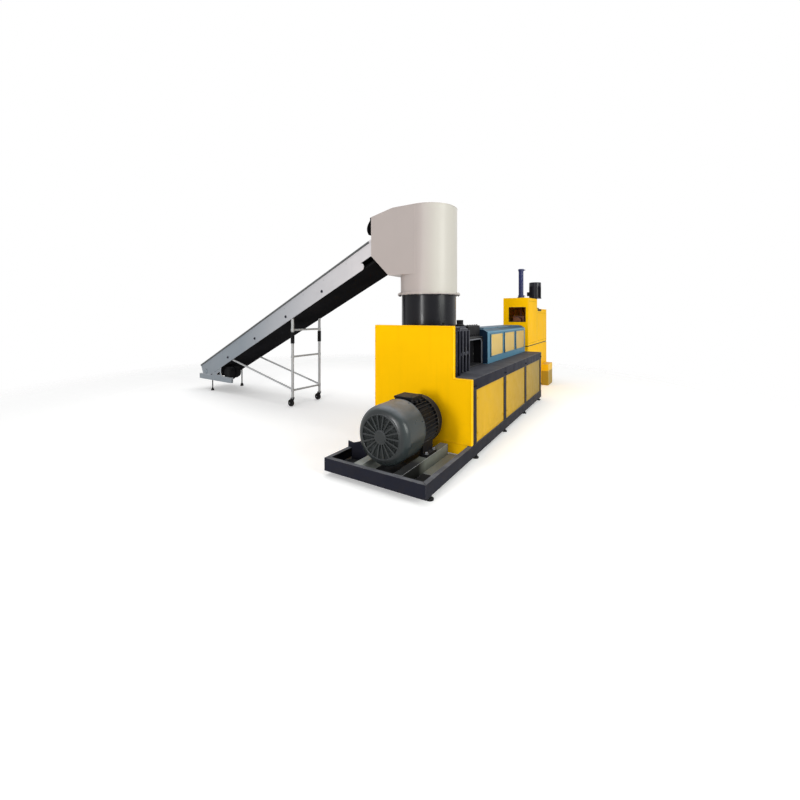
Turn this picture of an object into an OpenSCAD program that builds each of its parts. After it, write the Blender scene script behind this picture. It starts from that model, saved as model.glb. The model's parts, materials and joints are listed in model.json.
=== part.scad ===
// Plastic pelletizing machine: inclined film conveyor, compactor drum with hood,
// single screw extruder on a skid and a pelletizer cabinet behind it.
// Sizes are in millimetres. The layout is drawn with the screw axis at x = 0, the front
// of the skid at y = 0 and the floor at z = 0, then moved to the middle of the footprint.

/* [Skid frame] */
// Length of the skid along the extruder
frame_len = 4700; // [4500:50:5200]
// Width of the skid
frame_w = 1150; // [1100:10:1250]
// Screw axis to the right face of the skid
axis_to_right = 540; // [500:10:580]
// Height of the skid channel
rail_h = 130; // [110:5:160]
// Flange width of the skid channel
rail_w = 50; // [45:1:60]
// Web and flange thickness of the skid channel
rail_t = 10; // [8:1:14]
// Height of the levelling feet
foot_h = 45; // [35:5:60]
// Radius of a levelling foot pad
foot_r = 37; // [30:1:45]

/* [Main motor] */
// Shaft height of the main motor above the skid
motor_h = 280; // [270:5:300]
// Fan cowl beyond the cooling fins
cowl_gap = 18; // [12:2:24]
// Front of the fan cowl behind the front of the skid
cowl_y = 105; // [90:5:130]
// Length of the fan cowl
cowl_len = 370; // [340:10:390]
// Radius over the cooling fins
fin_r = 272; // [260:2:278]
// Number of cooling fins
fin_count = 40; // [24:4:48]
// Length of the finned housing
housing_len = 330; // [310:10:350]
// Distance between the two rows of foot bolts
foot_span = 457; // [440:1:480]

/* [Belt guard and drive cabinet] */
// Motor housing to the belt guard
guard_gap = 255; // [240:5:290]
// Depth of the belt guard
guard_t = 50; // [30:5:80]
// Top of the belt guard above the floor
guard_top = 1480; // [1420:10:1550]
// Screw axis to the right edge of the upper guard
guard_up_r = 327; // [300:1:360]
// Screw axis to the left edge of the guard
guard_left = 750; // [720:10:780]
// Depth of the belt housing behind the guard
belt_d = 220; // [180:10:240]
// Depth of the drive cabinet behind the guard
drive_d = 380; // [300:10:400]

/* [Extruder bed] */
// Height of the bed top above the floor
bed_top_z = 900; // [880:5:940]
// Depth of the bed edge beam
bed_h = 130; // [110:5:150]
// Width of a bed post along the skid
post_w = 110; // [90:5:140]
// Screw axis to the left edge of the narrow end of the bed
bed_left = 300; // [290:5:330]
// Depth of a side panel
panel_t = 24; // [15:1:40]
// Panel face set back from the face of the skid
panel_in = 12; // [5:1:25]

/* [Extruder] */
// Screw axis above the bed top
screw_z = 230; // [220:5:260]
// Half width of the gearbox on the right
gear_r = 240; // [220:5:260]
// Half width of the gearbox on the left
gear_l = 185; // [170:5:190]
// Length of the gearbox
gear_len = 370; // [340:5:380]
// Height of the gearbox
gear_h = 540; // [500:10:560]
// Number of ribs on a gearbox side
rib_count = 4; // [3:1:6]
// Half width of the barrel cover
cover_hw = 250; // [230:5:270]
// Length of the feed section
feed_len = 650; // [620:5:700]
// Height of the side of the barrel cover
cover_h = 460; // [430:5:500]
// Height of the chamfer along the top of the cover
cover_ch = 45; // [20:5:70]
// End of the barrel cover before the end of the skid
cover_end = 60; // [40:5:120]
// Height of a cover panel
cover_panel_h = 325; // [280:5:350]
// Gap between cover panels
cover_panel_gap = 115; // [80:5:160]

/* [Compactor drum] */
// Screw axis to the wall of the drum
drum_gap = 85; // [80:1:100]
// Gearbox to the drum axis
drum_back = 300; // [280:5:320]
// Outside radius of the drum
drum_r = 390; // [380:1:392]
// Wall of the drum
drum_t = 12; // [8:1:20]
// Top of the compactor base above the bed
base_rise = 100; // [60:5:140]
// Height of the drum from its base to the hood joint
drum_h = 900; // [850:10:950]
// Drum flange beyond the drum wall
flange_out = 57; // [40:1:70]
// Thickness of one flange
flange_t = 14; // [10:1:20]
// Half depth of the compactor base along the skid
base_out = 415; // [400:5:440]
// Compactor base beyond the left face of the skid
out_reach = 280; // [260:5:320]

/* [Feed hood] */
// Hood beyond the drum wall
hood_step = 15; // [5:1:25]
// Sheet of the hood
hood_t = 6; // [4:1:10]
// Height of the round collar under the hood
collar_h = 272; // [240:2:300]
// Height of the hood from its floor to its roof
hood_h = 936; // [880:2:990]
// Drum axis to the mouth of the hood
mouth_x = 734; // [700:2:760]
// Fall of the roof towards the mouth
roof_fall = 80; // [40:2:110]
// Bottom of the upright mouth above the hood floor
lip_rise = 294; // [260:2:330]
// Hood floor beyond the collar
lip_out = 25; // [20:1:45]
// Drum axis to the break in the roof
break_x = 362; // [340:2:400]
// Rubber curtain above the conveyor panels
curtain_gap = 36; // [20:2:60]

/* [Conveyor] */
// Pitch of the conveyor in degrees
pitch = 24.9; // [24.6:0.1:25.2]
// Turn of the conveyor in plan in degrees
yaw = 1.8; // [0:0.2:2.4]
// Underside of the conveyor above the hood floor at the drum axis
conv_rise = 557; // [543:1:570]
// Lower corner of the conveyor tail above the floor
tail_low = 220; // [205:1:235]
// Drum axis to the head of the conveyor along its slope
conv_head = 260; // [240:5:300]
// Hood wall beyond the conveyor panels on each side
conv_gap = 61; // [55:1:70]
// Height of a side panel with its edge strip
conv_h = 329; // [320:1:340]
// Height of the dark edge strip
trim_h = 26; // [20:1:32]
// Sheet of the side panels
side_t = 5; // [4:1:8]
// Drum axis to the end of the full height panel along its slope
step_s = 1000; // [960:10:1040]
// Radius of the conveyor drums
roll_r = 75; // [70:1:78]
// Thickness of the belt
belt_t = 8; // [6:1:10]
// Height of a belt cleat
cleat_h = 36; // [30:1:38]
// Spacing of the belt cleats
cleat_gap = 330; // [300:10:400]
// Thickness of the under pan
pan_t = 4; // [3:1:6]

/* [Conveyor stand] */
// Drum axis to the stand legs
leg_u = 2560; // [2500:10:2620]
// Radius of a leg tube
leg_r = 24; // [20:1:28]
// Radius of a cross tube
bar_r = 17; // [14:1:20]
// Height of the low cross tube above the floor
bar_low = 285; // [270:5:320]
// Height of the middle cross tube
bar_mid = 875; // [820:5:920]
// Top cross tube below the conveyor
bar_drop = 190; // [170:5:210]
// Length of a black leg sleeve
sleeve_h = 200; // [160:10:220]
// Radius of a castor wheel
wheel_r = 62; // [55:1:70]
// Width of a castor wheel
wheel_w = 36; // [30:1:40]
// Trail of a castor
trail = 38; // [30:1:45]
// Height of the tail beam above the floor
tail_z = 222; // [215:1:230]
// Height of the tail beam
tail_h = 108; // [100:2:114]
// Tail beam beyond the end of the conveyor
tail_out = 195; // [170:5:220]
// Length of the tail beam
tail_len = 1200; // [1160:10:1240]

/* [Pelletizer] */
// Skid to the front of the pelletizer
pel_gap = 200; // [150:10:300]
// Half width of the pelletizer
pel_hw = 248; // [230:2:270]
// Depth of the tall cabinet
pel_d = 850; // [800:10:900]
// Depth of the rear cabinet
rear_d = 1050; // [1000:10:1100]
// Height of the tall cabinet
pel_h = 970; // [910:10:1010]
// Height of the rear cabinet
rear_h = 760; // [710:10:810]
// Top of the lower base above the floor
pel_base = 970; // [940:10:985]
// Height of the shadow gap over the base
seam = 20; // [10:2:30]
// Wall of the tall cabinet
pel_t = 8; // [4:1:12]
// Width of the window
win_w = 325; // [300:5:350]
// Height of the window
win_h = 290; // [270:5:310]
// Window below the top of the cabinet
win_drop = 195; // [170:5:230]
// Window to the right of the screw axis
win_off = 35; // [0:5:50]
// Radius of the slide cylinder
cyl_r = 50; // [40:2:60]
// Height of the slide cylinder
cyl_h = 630; // [560:10:680]
// Radius of the cutter motor
cut_r = 130; // [110:5:140]
// Height of the cutter motor
cut_h = 370; // [320:10:400]

/* [Hidden] */
$fn = 64;
// Gap kept between curved faces of neighbouring pieces
fit = 0.3;
// Play of a pin in its hole
run = 0.05;
// Space kept between pieces that don't touch
clear = 5;
xr = axis_to_right;
xl = axis_to_right - frame_w;
ftop = foot_h + rail_h;
mz = ftop + motor_h;
cowl_r = fin_r + cowl_gap;
// Rounding of the fan cowl's rim, and its wedge-shaped air slots: inner and outer width and reach
cowl_round = 90;
slot_w0 = 14;
slot_w1 = 54;
slot_r0 = 68;
slot_r1 = 204;
// Terminal box on the motor housing
term_gap = 45;
term_len = 200;
term_hw = 105;
term_up = 25;
// Tray and plates under the motor
tray_z = foot_h + rail_t;
deck_len = 620;
deck_t = 6;
foot_pad = 45;
bracket_y = 369;
bracket_t = 14;
bracket_w = 295;
// Upper outline of the jack bracket from the left face and the top of the rail
bracket_top = [[0, 0], [0, 65], [70, 55], [160, 83], [258, -54]];
tie_w = 75;
foot_y = 120;
// Straps on the belt housing
belt_in = 35;
belt_drop = 15;
strap_w = 35;
strap_t = 28;
strap_y = 40;
strap_gap = 100;
strap_drop = 45;
guard_y = cowl_y + cowl_len + housing_len + guard_gap;
gback = guard_y + guard_t;
bed_y0 = gback;
bed_z0 = bed_top_z - bed_h;
scz = bed_top_z + screw_z;
gear_y = gback + belt_d;
gear_y1 = gear_y + gear_len;
// Thrust housing and neck between the gearbox and the feed section
thrust_r = 150;
thrust_t = 50;
neck_r = 78;
// Filler cap and dipstick plug on the gearbox
cap_in = 76;
cap_r = 53;
cap_h = 78;
plug_x = 40;
plug_r = 26;
plug_h = 50;
neck_len = 100;
feed_y = gear_y1 + neck_len;
// Feed section: half width on the drum side, right face, top and cooling jacket
feed_hw = 70;
feed_right = 175;
feed_up = 170;
jacket_up = 330;
// Arched window in the right side of the feed section
arch_in = 70;
arch_out = 60;
arch_up = 140;
arch_r = 70;
arch_x = 50;
sill_h = 15;
// Throat from the drum
throat_d = 150;
throat_y0 = 30;
throat_y1 = 240;
throat_z0 = 60;
throat_z1 = 260;
cover_y = feed_y + feed_len;
cover_y1 = frame_len - cover_end;
cover_panel_w = (cover_y1 - cover_y - 4 * cover_panel_gap) / 3;
post_gap = (frame_len - bed_y0 - post_w) / 3;
base_r = -bed_left - clear;
base_l = xl - out_reach;
dx = -drum_r - drum_gap;
drum_y = gear_y1 + drum_back;
bed_step = drum_y + base_out + 2 * clear;
drum_base_z = bed_top_z + base_rise;
drum_floor_t = 20;
flange_z = drum_base_z + drum_h;
flange_r = drum_r + flange_out;
hood_r = drum_r + hood_step;
hood_z = flange_z + collar_h;
roof_z = hood_z + hood_h;
mouth_top = roof_z - roof_fall;
mouth_low = hood_z + lip_rise;
hmx = dx - mouth_x;
hlx = dx - hood_r - lip_out;
hbx = dx - break_x;
// Bar in the hood that carries the conveyor
rest_u = mouth_x - 134;
rest_w = 40;
rest_h = 55;
conv_z = hood_z + conv_rise;
conv_tail = (conv_z - tail_low) / sin(pitch);
conv_hw = hood_r - conv_gap;
roll_n = roll_r + belt_t + cleat_h + clear + pan_t;
roll_s = 130;
shaft_r = 20;
tail_u = conv_tail * cos(pitch) + tail_out;
tail_w = 50;
tail_top = tail_z + tail_h;
tail_foot_u = tail_u - 480;
brace_u = tail_u - 1238;
leg_v = conv_hw - leg_r - 2;
leg_z0 = wheel_r * 2 + 40;
drive_u = tail_u - 980;
drive_z = tail_z + 188;
drive_r = 122;
drive_len = 197;
drive_cap = 41;
drive_plate = 14;
pel_y = frame_len + pel_gap;
pel_y1 = pel_y + pel_d;
rear_y1 = pel_y1 + rear_d;
up_z = pel_base + seam;
pel_top = up_z + pel_h;
rear_top = up_z + rear_h;
win_z = pel_top - win_drop - win_h;
// Screen changer seen through the window
changer_hw = 120;
changer_y = 240;
changer_d = 380;
changer_up = 120;
nozzle_r = 85;
nozzle_up = 10;
nozzle_len = 120;
ram_r = 24;
ram_y = 450;
bin_w = 150;
bin_d = 500;
bin_y0 = rear_y1 - bin_d - 100;
bin_h = 480;
// Point of the turned conveyor frame in the layout
function turned(u, v) = [dx + u * cos(yaw) + v * sin(yaw), drum_y - u * sin(yaw) + v * cos(yaw), 0];
// Underside of the pan above the floor at a distance from the drum axis
function under(u) = conv_z - u * tan(pitch) - pan_t / cos(pitch);
bar_top = under(leg_u) - bar_drop;
// Rubber curtain: clamping bar, outward bow and strips
bar_t = 20;
bar_h = 36;
bow = 65;
strip_t = 6;
strip_count = 6;
curtain_low = under(mouth_x + 20) + (conv_h + pan_t) / cos(pitch) + curtain_gap;
x_min = turned(-tail_u, -conv_hw)[0];
x_max = max(xr, xr - rail_w / 2 + foot_r);
y_max = rear_y1;
origin = [-(x_min + x_max) / 2, -y_max / 2, 0];

// Box from its six faces
module block(x0, x1, y0, y1, z0, z1) {
    translate([x0, y0, z0]) cube([x1 - x0, y1 - y0, z1 - z0]);
}

// Cylinder along y from y0 to y1
module rod_y(x, z, r, y0, y1) {
    translate([x, y0, z]) rotate([-90, 0, 0]) cylinder(r = r, h = y1 - y0);
}

// Outline in x and z carried along y from y0 to y1
module slab_y(y0, y1, pts) {
    translate([0, y1, 0]) rotate([90, 0, 0]) linear_extrude(y1 - y0) polygon(pts);
}

// Places the drawing on the shared origin
module place() {
    translate(origin) children();
}

// Plan frame of the conveyor: x towards the drum, y across, z up
module turn() {
    translate([dx, drum_y, 0]) rotate([0, 0, -yaw]) children();
}

// Slope frame of the conveyor: x up the slope, y across, z square to the belt
module on_slope() {
    turn() translate([0, 0, conv_z]) rotate([0, -pitch, 0]) children();
}

// Space above the underside of the conveyor
module above_pan() {
    on_slope() block(-conv_tail - conv_h, conv_h, -2 * conv_hw, 2 * conv_hw, -pan_t, 3 * conv_h);
}

module skid_side_rails() {
    color([0.17, 0.18, 0.22]) place() {
        difference() {
            translate([0, 0, foot_h]) linear_extrude(rail_h)
                polygon([[xr, 0], [xr, frame_len], [xr - rail_w, frame_len - rail_w], [xr - rail_w, rail_w]]);
            translate([0, 0, foot_h + rail_t]) linear_extrude(rail_h - 2 * rail_t)
                polygon([[xr - rail_t, rail_t], [xr - rail_t, frame_len - rail_t],
                    [xr - rail_w - 1, frame_len - rail_w - 1], [xr - rail_w - 1, rail_w + 1]]);
        }
        difference() {
            translate([0, 0, foot_h]) linear_extrude(rail_h)
                polygon([[xl, 0], [xl + rail_w, rail_w], [xl + rail_w, frame_len - rail_w], [xl, frame_len]]);
            translate([0, 0, foot_h + rail_t]) linear_extrude(rail_h - 2 * rail_t)
                polygon([[xl + rail_t, rail_t], [xl + rail_w + 1, rail_w + 1],
                    [xl + rail_w + 1, frame_len - rail_w - 1], [xl + rail_t, frame_len - rail_t]]);
        }
    }
}

module skid_end_rails() {
    color([0.17, 0.18, 0.22]) place() {
        difference() {
            translate([0, 0, foot_h]) linear_extrude(rail_h)
                polygon([[xl, 0], [xr, 0], [xr - rail_w, rail_w], [xl + rail_w, rail_w]]);
            translate([0, 0, foot_h + rail_t]) linear_extrude(rail_h - 2 * rail_t)
                polygon([[xl + rail_t, rail_t], [xr - rail_t, rail_t],
                    [xr - rail_w - 1, rail_w + 1], [xl + rail_w + 1, rail_w + 1]]);
        }
        difference() {
            translate([0, 0, foot_h]) linear_extrude(rail_h)
                polygon([[xl, frame_len], [xl + rail_w, frame_len - rail_w],
                    [xr - rail_w, frame_len - rail_w], [xr, frame_len]]);
            translate([0, 0, foot_h + rail_t]) linear_extrude(rail_h - 2 * rail_t)
                polygon([[xl + rail_t, frame_len - rail_t], [xl + rail_w + 1, frame_len - rail_w - 1],
                    [xr - rail_w - 1, frame_len - rail_w - 1], [xr - rail_t, frame_len - rail_t]]);
        }
    }
}

module skid_crossmembers() {
    color([0.10, 0.10, 0.12]) place() {
        // Tray under the motor
        block(xl + rail_w, xr - rail_w, rail_w, guard_y - 2 * clear, foot_h, tray_z);
        // Full height members under the bed
        for (k = [0 : 2])
            block(xl + rail_w, xr - rail_w, bed_y0 + k * post_gap, bed_y0 + k * post_gap + tie_w,
                foot_h, ftop);
    }
}

module outrigger() {
    y0 = drum_y - base_out;
    y1 = drum_y + base_out;
    color([0.15, 0.16, 0.19]) place() {
        for (y = [y0 + 40, y1 - 40 - tie_w])
            block(base_l, xl, y, y + tie_w, foot_h, ftop);
        block(base_l, base_l + tie_w, y0 + 40 + tie_w, y1 - 40 - tie_w, foot_h, ftop);
    }
}

module floor_feet() {
    color([0.25, 0.26, 0.28]) place() {
        for (x = [xl + rail_w / 2, xr - rail_w / 2], k = [0 : 4])
            translate([x, foot_y + k * (frame_len - 2 * foot_y) / 4, 0]) {
                cylinder(r = foot_r, h = 14);
                cylinder(r = 12, h = foot_h);
            }
        for (y = [drum_y - base_out + 40 + tie_w / 2, drum_y + base_out - 40 - tie_w / 2])
            translate([base_l + tie_w / 2, y, 0]) {
                cylinder(r = foot_r, h = 14);
                cylinder(r = 12, h = foot_h);
            }
        // Feet of the conveyor tail, one under its beam and one under the far panel
        turn() translate([-tail_foot_u, -conv_hw + tail_w / 2, 0]) {
            cylinder(r1 = 36, r2 = 22, h = 46);
            cylinder(r = 11, h = tail_z);
        }
        difference() {
            turn() translate([-tail_foot_u + 60, conv_hw - 14, 0]) {
                cylinder(r1 = 36, r2 = 26, h = 60);
                cylinder(r = 12, h = under(tail_foot_u - 60) + conv_h);
            }
            above_pan();
        }
    }
}

module deck_plate() {
    color([0.45, 0.46, 0.48]) place()
        block(foot_span / 2 + foot_pad + 2, xr - rail_t - 2, guard_y - deck_len, guard_y - clear,
            tray_z, tray_z + deck_t);
}

module jack_bracket() {
    // Upright plate from the left rail down to the tray
    color([0.15, 0.16, 0.18]) place()
        slab_y(bracket_y, bracket_y + bracket_t, concat([for (p = bracket_top) [xl + p[0], ftop + p[1]]],
            [[xl + bracket_w, tray_z], [xl + rail_w, tray_z], [xl + rail_w, ftop]]));
}

module motor_rails() {
    color([0.55, 0.56, 0.57]) place()
        for (s = [-1, 1])
            block(s * foot_span / 2 - foot_pad, s * foot_span / 2 + foot_pad, rail_w, guard_y - 40,
                tray_z, ftop);
}

module motor_housing() {
    y0 = cowl_y + cowl_len;
    color([0.24, 0.28, 0.28]) place() {
        translate([0, y0 + housing_len, mz]) rotate([90, 0, 0]) linear_extrude(housing_len) union() {
            circle(r = fin_r - 34);
            for (k = [0 : fin_count - 1])
                rotate(k * 360 / fin_count + 180 / fin_count) translate([fin_r - 60, -3]) square([60, 6]);
        }
        for (s = [-1, 1]) {
            block(s * foot_span / 2 - 42, s * foot_span / 2 + 42, y0 + 60, y0 + housing_len - 60,
                ftop, ftop + 30);
            block(s * (foot_span / 2 - 20) - 18, s * (foot_span / 2 - 20) + 18,
                y0 + 60, y0 + housing_len - 60, ftop + 30, mz);
        }
    }
}

module motor_fan_cowl() {
    rr = cowl_round;
    t = 4;
    color([0.20, 0.24, 0.24]) place()
        difference() {
            translate([0, cowl_y, mz]) rotate([-90, 0, 0]) rotate_extrude()
                polygon(concat(
                    [[0, 0]],
                    [for (a = [-90 : 15 : 0]) [cowl_r - rr + rr * cos(a), rr + rr * sin(a)]],
                    [[cowl_r, cowl_len], [fin_r - 12, cowl_len],
                        [fin_r - 12, cowl_len - t], [cowl_r - t, cowl_len - t]],
                    [for (a = [0 : -15 : -90]) [cowl_r - rr + (rr - t) * cos(a), rr + (rr - t) * sin(a)]],
                    [[0, t]]));
            translate([0, cowl_y - 1, mz]) rotate([-90, 0, 0]) linear_extrude(t + 3)
                for (k = [0 : 17]) rotate(k * 20)
                    polygon([[-slot_w0 / 2, slot_r0], [slot_w0 / 2, slot_r0],
                        [slot_w1 / 2, slot_r1], [-slot_w1 / 2, slot_r1]]);
        }
}

module motor_fan() {
    color([0.10, 0.11, 0.12]) place() {
        y1 = cowl_y + cowl_len;
        rod_y(0, mz, 60, y1 - 160, y1);
        for (k = [0 : 7])
            translate([0, y1 - 140, mz]) rotate([0, k * 45, 0]) translate([-4, 0, 50]) cube([8, 90, 180]);
    }
}

module motor_end_shield() {
    y0 = cowl_y + cowl_len + housing_len;
    y1 = y0 + guard_gap * 0.35;
    y2 = y0 + guard_gap * 0.55;
    y3 = y0 + guard_gap * 0.7;
    color([0.14, 0.15, 0.16]) place() {
        rod_y(0, mz, fin_r - 6, y0, y1);
        rod_y(0, mz, fin_r - 90, y1 - 1, y2);
        rod_y(0, mz, 90, y2 - 1, y3);
        rod_y(0, mz, 38, y3 - 1, gback - 4);
    }
}

module motor_terminal_box() {
    y0 = cowl_y + cowl_len + term_gap;
    color([0.14, 0.15, 0.16]) place()
        difference() {
            block(-term_hw, term_hw, y0, y0 + term_len, mz + fin_r / 2, mz + fin_r + term_up);
            rod_y(0, mz, fin_r + fit, y0 - 1, y0 + term_len + 1);
        }
}

module belt_guard() {
    color([0.96, 0.74, 0.04]) place()
        difference() {
            slab_y(guard_y, gback, [[-guard_left, guard_top], [-guard_left, ftop + clear],
                [xl + rail_w + clear, ftop + clear], [xl + rail_w + clear, tray_z + 2 * clear],
                [xr - rail_w - clear, tray_z + 2 * clear], [xr - rail_w - clear, ftop + clear],
                [xr, ftop + clear], [xr, bed_top_z], [guard_up_r, bed_top_z], [guard_up_r, guard_top]]);
            rod_y(0, mz, 62, guard_y - 1, gback + 1);
        }
}

module belt_housing() {
    x1 = guard_up_r - belt_in;
    z1 = guard_top - belt_drop;
    color([0.26, 0.27, 0.30]) place() {
        block(-bed_left, x1, gback, gear_y, bed_top_z, z1);
        for (k = [0 : 1])
            block(x1, x1 + strap_t, gback + strap_y + k * strap_gap,
                gback + strap_y + strap_w + k * strap_gap, bed_top_z, z1 - strap_drop);
    }
}

module drive_cabinet() {
    color([0.95, 0.73, 0.05]) place()
        block(-guard_left + 10, base_r, gback, gback + drive_d, ftop, guard_top - 10);
}

module bed_posts() {
    color([0.17, 0.18, 0.22]) place() {
        for (k = [0 : 3])
            block(xr - 64, xr - 4, bed_y0 + k * post_gap, bed_y0 + k * post_gap + post_w, ftop, bed_z0);
        for (k = [2 : 3])
            block(xl + 4, xl + 64, bed_y0 + k * post_gap, bed_y0 + k * post_gap + post_w, ftop, bed_z0);
        block(xl + 4, xl + 64, bed_step + clear, bed_step + clear + post_w, ftop, bed_z0);
        block(-bed_left + 4, -bed_left + 64, bed_y0 + 10, bed_y0 + 10 + post_w, ftop, bed_z0);
    }
}

module bed_top() {
    color([0.24, 0.25, 0.29]) place()
        difference() {
            translate([0, 0, bed_z0]) linear_extrude(bed_h)
                polygon([[-bed_left, bed_y0], [xr, bed_y0], [xr, frame_len], [xl, frame_len],
                    [xl, bed_step], [-bed_left, bed_step]]);
            block(-bed_left + 70, xr - 70, bed_y0 + 70, bed_step - 200, bed_z0 - 1, bed_top_z - 20);
            block(xl + 70, xr - 70, bed_step + 125, frame_len - 115, bed_z0 - 1, bed_top_z - 20);
        }
}

module right_panels() {
    color([0.92, 0.70, 0.14]) place()
        for (k = [0 : 2])
            block(xr - panel_in - panel_t, xr - panel_in, bed_y0 + k * post_gap + post_w,
                bed_y0 + (k + 1) * post_gap, ftop, bed_z0);
}

module left_panels() {
    color([0.92, 0.70, 0.14]) place() {
        block(xl + panel_in, xl + panel_in + panel_t, bed_step + clear + post_w, bed_y0 + 2 * post_gap,
            ftop, bed_z0);
        block(xl + panel_in, xl + panel_in + panel_t, bed_y0 + 2 * post_gap + post_w, bed_y0 + 3 * post_gap,
            ftop, bed_z0);
        block(xl + 64, xr - 64, frame_len - panel_in - panel_t, frame_len - panel_in, ftop, bed_z0);
    }
}

module gearbox() {
    color([0.27, 0.28, 0.32]) place() {
        z1 = bed_top_z + gear_h;
        block(-gear_l, gear_r, gear_y, gear_y1, bed_top_z, z1);
        // Split flange and top cover
        block(gear_r - 1, gear_r + 22, gear_y, gear_y1, scz - 16, scz + 16);
        block(-gear_l + 20, gear_r - 20, gear_y + 20, gear_y1 - 20, z1 - 1, z1 + 25);
        for (k = [0 : rib_count - 1]) {
            y = gear_y + 15 + k * (gear_len - 60) / (rib_count - 1);
            block(gear_r - 1, gear_r + 36, y, y + 30, bed_top_z, z1 - 25);
        }
        // Round thrust housing towards the screw
        rod_y(0, scz, thrust_r, gear_y1 - 1, gear_y1 + thrust_t);
        rod_y(0, scz, neck_r, gear_y1 + thrust_t - 1, feed_y);
    }
}

module gearbox_breather() {
    color([0.14, 0.15, 0.17]) place() {
        z1 = bed_top_z + gear_h + 25;
        translate([gear_r - cap_in, gear_y1 - cap_in, z1]) {
            cylinder(r = cap_r, h = 22);
            cylinder(r = cap_r - 11, h = cap_h);
        }
        translate([plug_x, gear_y + cap_in, z1]) {
            cylinder(r = plug_r, h = 20);
            cylinder(r = plug_r - 8, h = plug_h);
        }
    }
}

module feed_section() {
    a0 = feed_y + arch_in;
    a1 = cover_y - arch_out;
    az = scz + arch_up;
    sill = bed_top_z + sill_h;
    color([0.10, 0.10, 0.12]) place() {
        difference() {
            union() {
                block(-feed_hw, feed_right, feed_y, cover_y, bed_top_z, scz + feed_up);
                // Cooling jacket
                block(-feed_hw + 20, feed_right - 25, a0 + 90, a1, scz + feed_up - 1, scz + jacket_up);
                // Throat from the drum
                block(dx + drum_r - throat_d, -feed_hw + 1, drum_y + throat_y0, drum_y + throat_y1,
                    drum_base_z + throat_z0, drum_base_z + throat_z1);
            }
            translate([dx, drum_y, drum_base_z]) cylinder(r = drum_r + fit, h = drum_h);
            // Arched window
            translate([arch_x, 0, 0]) rotate([90, 0, 90]) linear_extrude(feed_right) union() {
                translate([a0, sill]) square([a1 - a0, az - arch_r - sill]);
                translate([a0 + arch_r, sill]) square([a1 - a0 - 2 * arch_r, az - sill]);
                translate([a0 + arch_r, az - arch_r]) circle(r = arch_r);
                translate([a1 - arch_r, az - arch_r]) circle(r = arch_r);
            }
        }
    }
}

module barrel_cover() {
    color([0.25, 0.49, 0.65]) place()
        slab_y(cover_y, cover_y1, [[-cover_hw, bed_top_z], [cover_hw, bed_top_z],
            [cover_hw, bed_top_z + cover_h], [cover_hw - 70, bed_top_z + cover_h + cover_ch],
            [-cover_hw + 70, bed_top_z + cover_h + cover_ch], [-cover_hw, bed_top_z + cover_h]]);
}

module cover_panels() {
    color([0.93, 0.78, 0.30]) place()
        for (s = [-1, 1], k = [0 : 2]) {
            y = cover_y + cover_panel_gap + k * (cover_panel_w + cover_panel_gap);
            block(s > 0 ? cover_hw : -cover_hw - 10, s > 0 ? cover_hw + 10 : -cover_hw, y, y + cover_panel_w,
                bed_top_z + 100, bed_top_z + 100 + cover_panel_h);
        }
}

module die_adaptor() {
    color([0.55, 0.55, 0.56]) place() {
        rod_y(0, scz, 90, cover_y1, pel_y);
        rod_y(0, scz, 140, cover_y1, cover_y1 + 40);
        rod_y(0, scz, 150, pel_y - 45, pel_y);
    }
}

module compactor_base() {
    color([0.95, 0.73, 0.05]) place()
        block(base_l, base_r, drum_y - base_out, drum_y + base_out, ftop, drum_base_z);
}

module drum_floor() {
    color([0.20, 0.21, 0.23]) place()
        translate([dx, drum_y, drum_base_z]) cylinder(r = drum_r + 8, h = drum_floor_t);
}

module compactor_drum() {
    color([0.17, 0.18, 0.22]) place()
        translate([dx, drum_y, 0]) difference() {
            union() {
                translate([0, 0, drum_base_z + drum_floor_t]) cylinder(r = drum_r, h = drum_h - drum_floor_t);
                translate([0, 0, flange_z - flange_t]) cylinder(r = flange_r, h = flange_t);
            }
            translate([0, 0, drum_base_z + drum_floor_t - 1]) cylinder(r = drum_r - drum_t, h = drum_h);
        }
}

module hood_collar() {
    color([0.80, 0.79, 0.75]) place()
        translate([dx, drum_y, 0]) difference() {
            union() {
                translate([0, 0, flange_z]) cylinder(r = hood_r, h = hood_z - flange_z);
                translate([0, 0, flange_z]) cylinder(r = flange_r, h = flange_t);
            }
            translate([0, 0, flange_z - 1]) cylinder(r = hood_r - hood_t, h = collar_h + 2);
        }
}

module hood_side_walls() {
    pts = [[dx, hood_z], [hlx, hood_z], [hmx, mouth_low], [hmx, mouth_top], [hbx, roof_z], [dx, roof_z]];
    color([0.80, 0.79, 0.75]) place() {
        slab_y(drum_y - hood_r, drum_y - hood_r + hood_t, pts);
        slab_y(drum_y + hood_r - hood_t, drum_y + hood_r, pts);
    }
}

module hood_round_wall() {
    color([0.80, 0.79, 0.75]) place()
        translate([dx, drum_y, hood_z]) difference() {
            cylinder(r = hood_r, h = roof_z - hood_z);
            translate([0, 0, -1]) cylinder(r = hood_r - hood_t, h = roof_z - hood_z + 2);
            translate([-2 * hood_r, -2 * hood_r, -1]) cube([2 * hood_r, 4 * hood_r, roof_z - hood_z + 2]);
        }
}

module hood_floor() {
    color([0.76, 0.75, 0.71]) place() {
        difference() {
            block(hlx, dx - 20, drum_y - hood_r, drum_y + hood_r, hood_z - hood_t, hood_z);
            translate([dx, drum_y, hood_z - 50]) cylinder(r = hood_r + fit, h = 100);
        }
        // Cross bar that carries the conveyor
        difference() {
            intersection() {
                turn() block(-rest_u - rest_w / 2, -rest_u + rest_w / 2, -2 * hood_r, 2 * hood_r,
                    under(rest_u) - rest_h, under(rest_u) + rest_h);
                block(hmx, dx, drum_y - hood_r + hood_t, drum_y + hood_r - hood_t, hood_z, roof_z);
            }
            above_pan();
        }
    }
}

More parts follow.
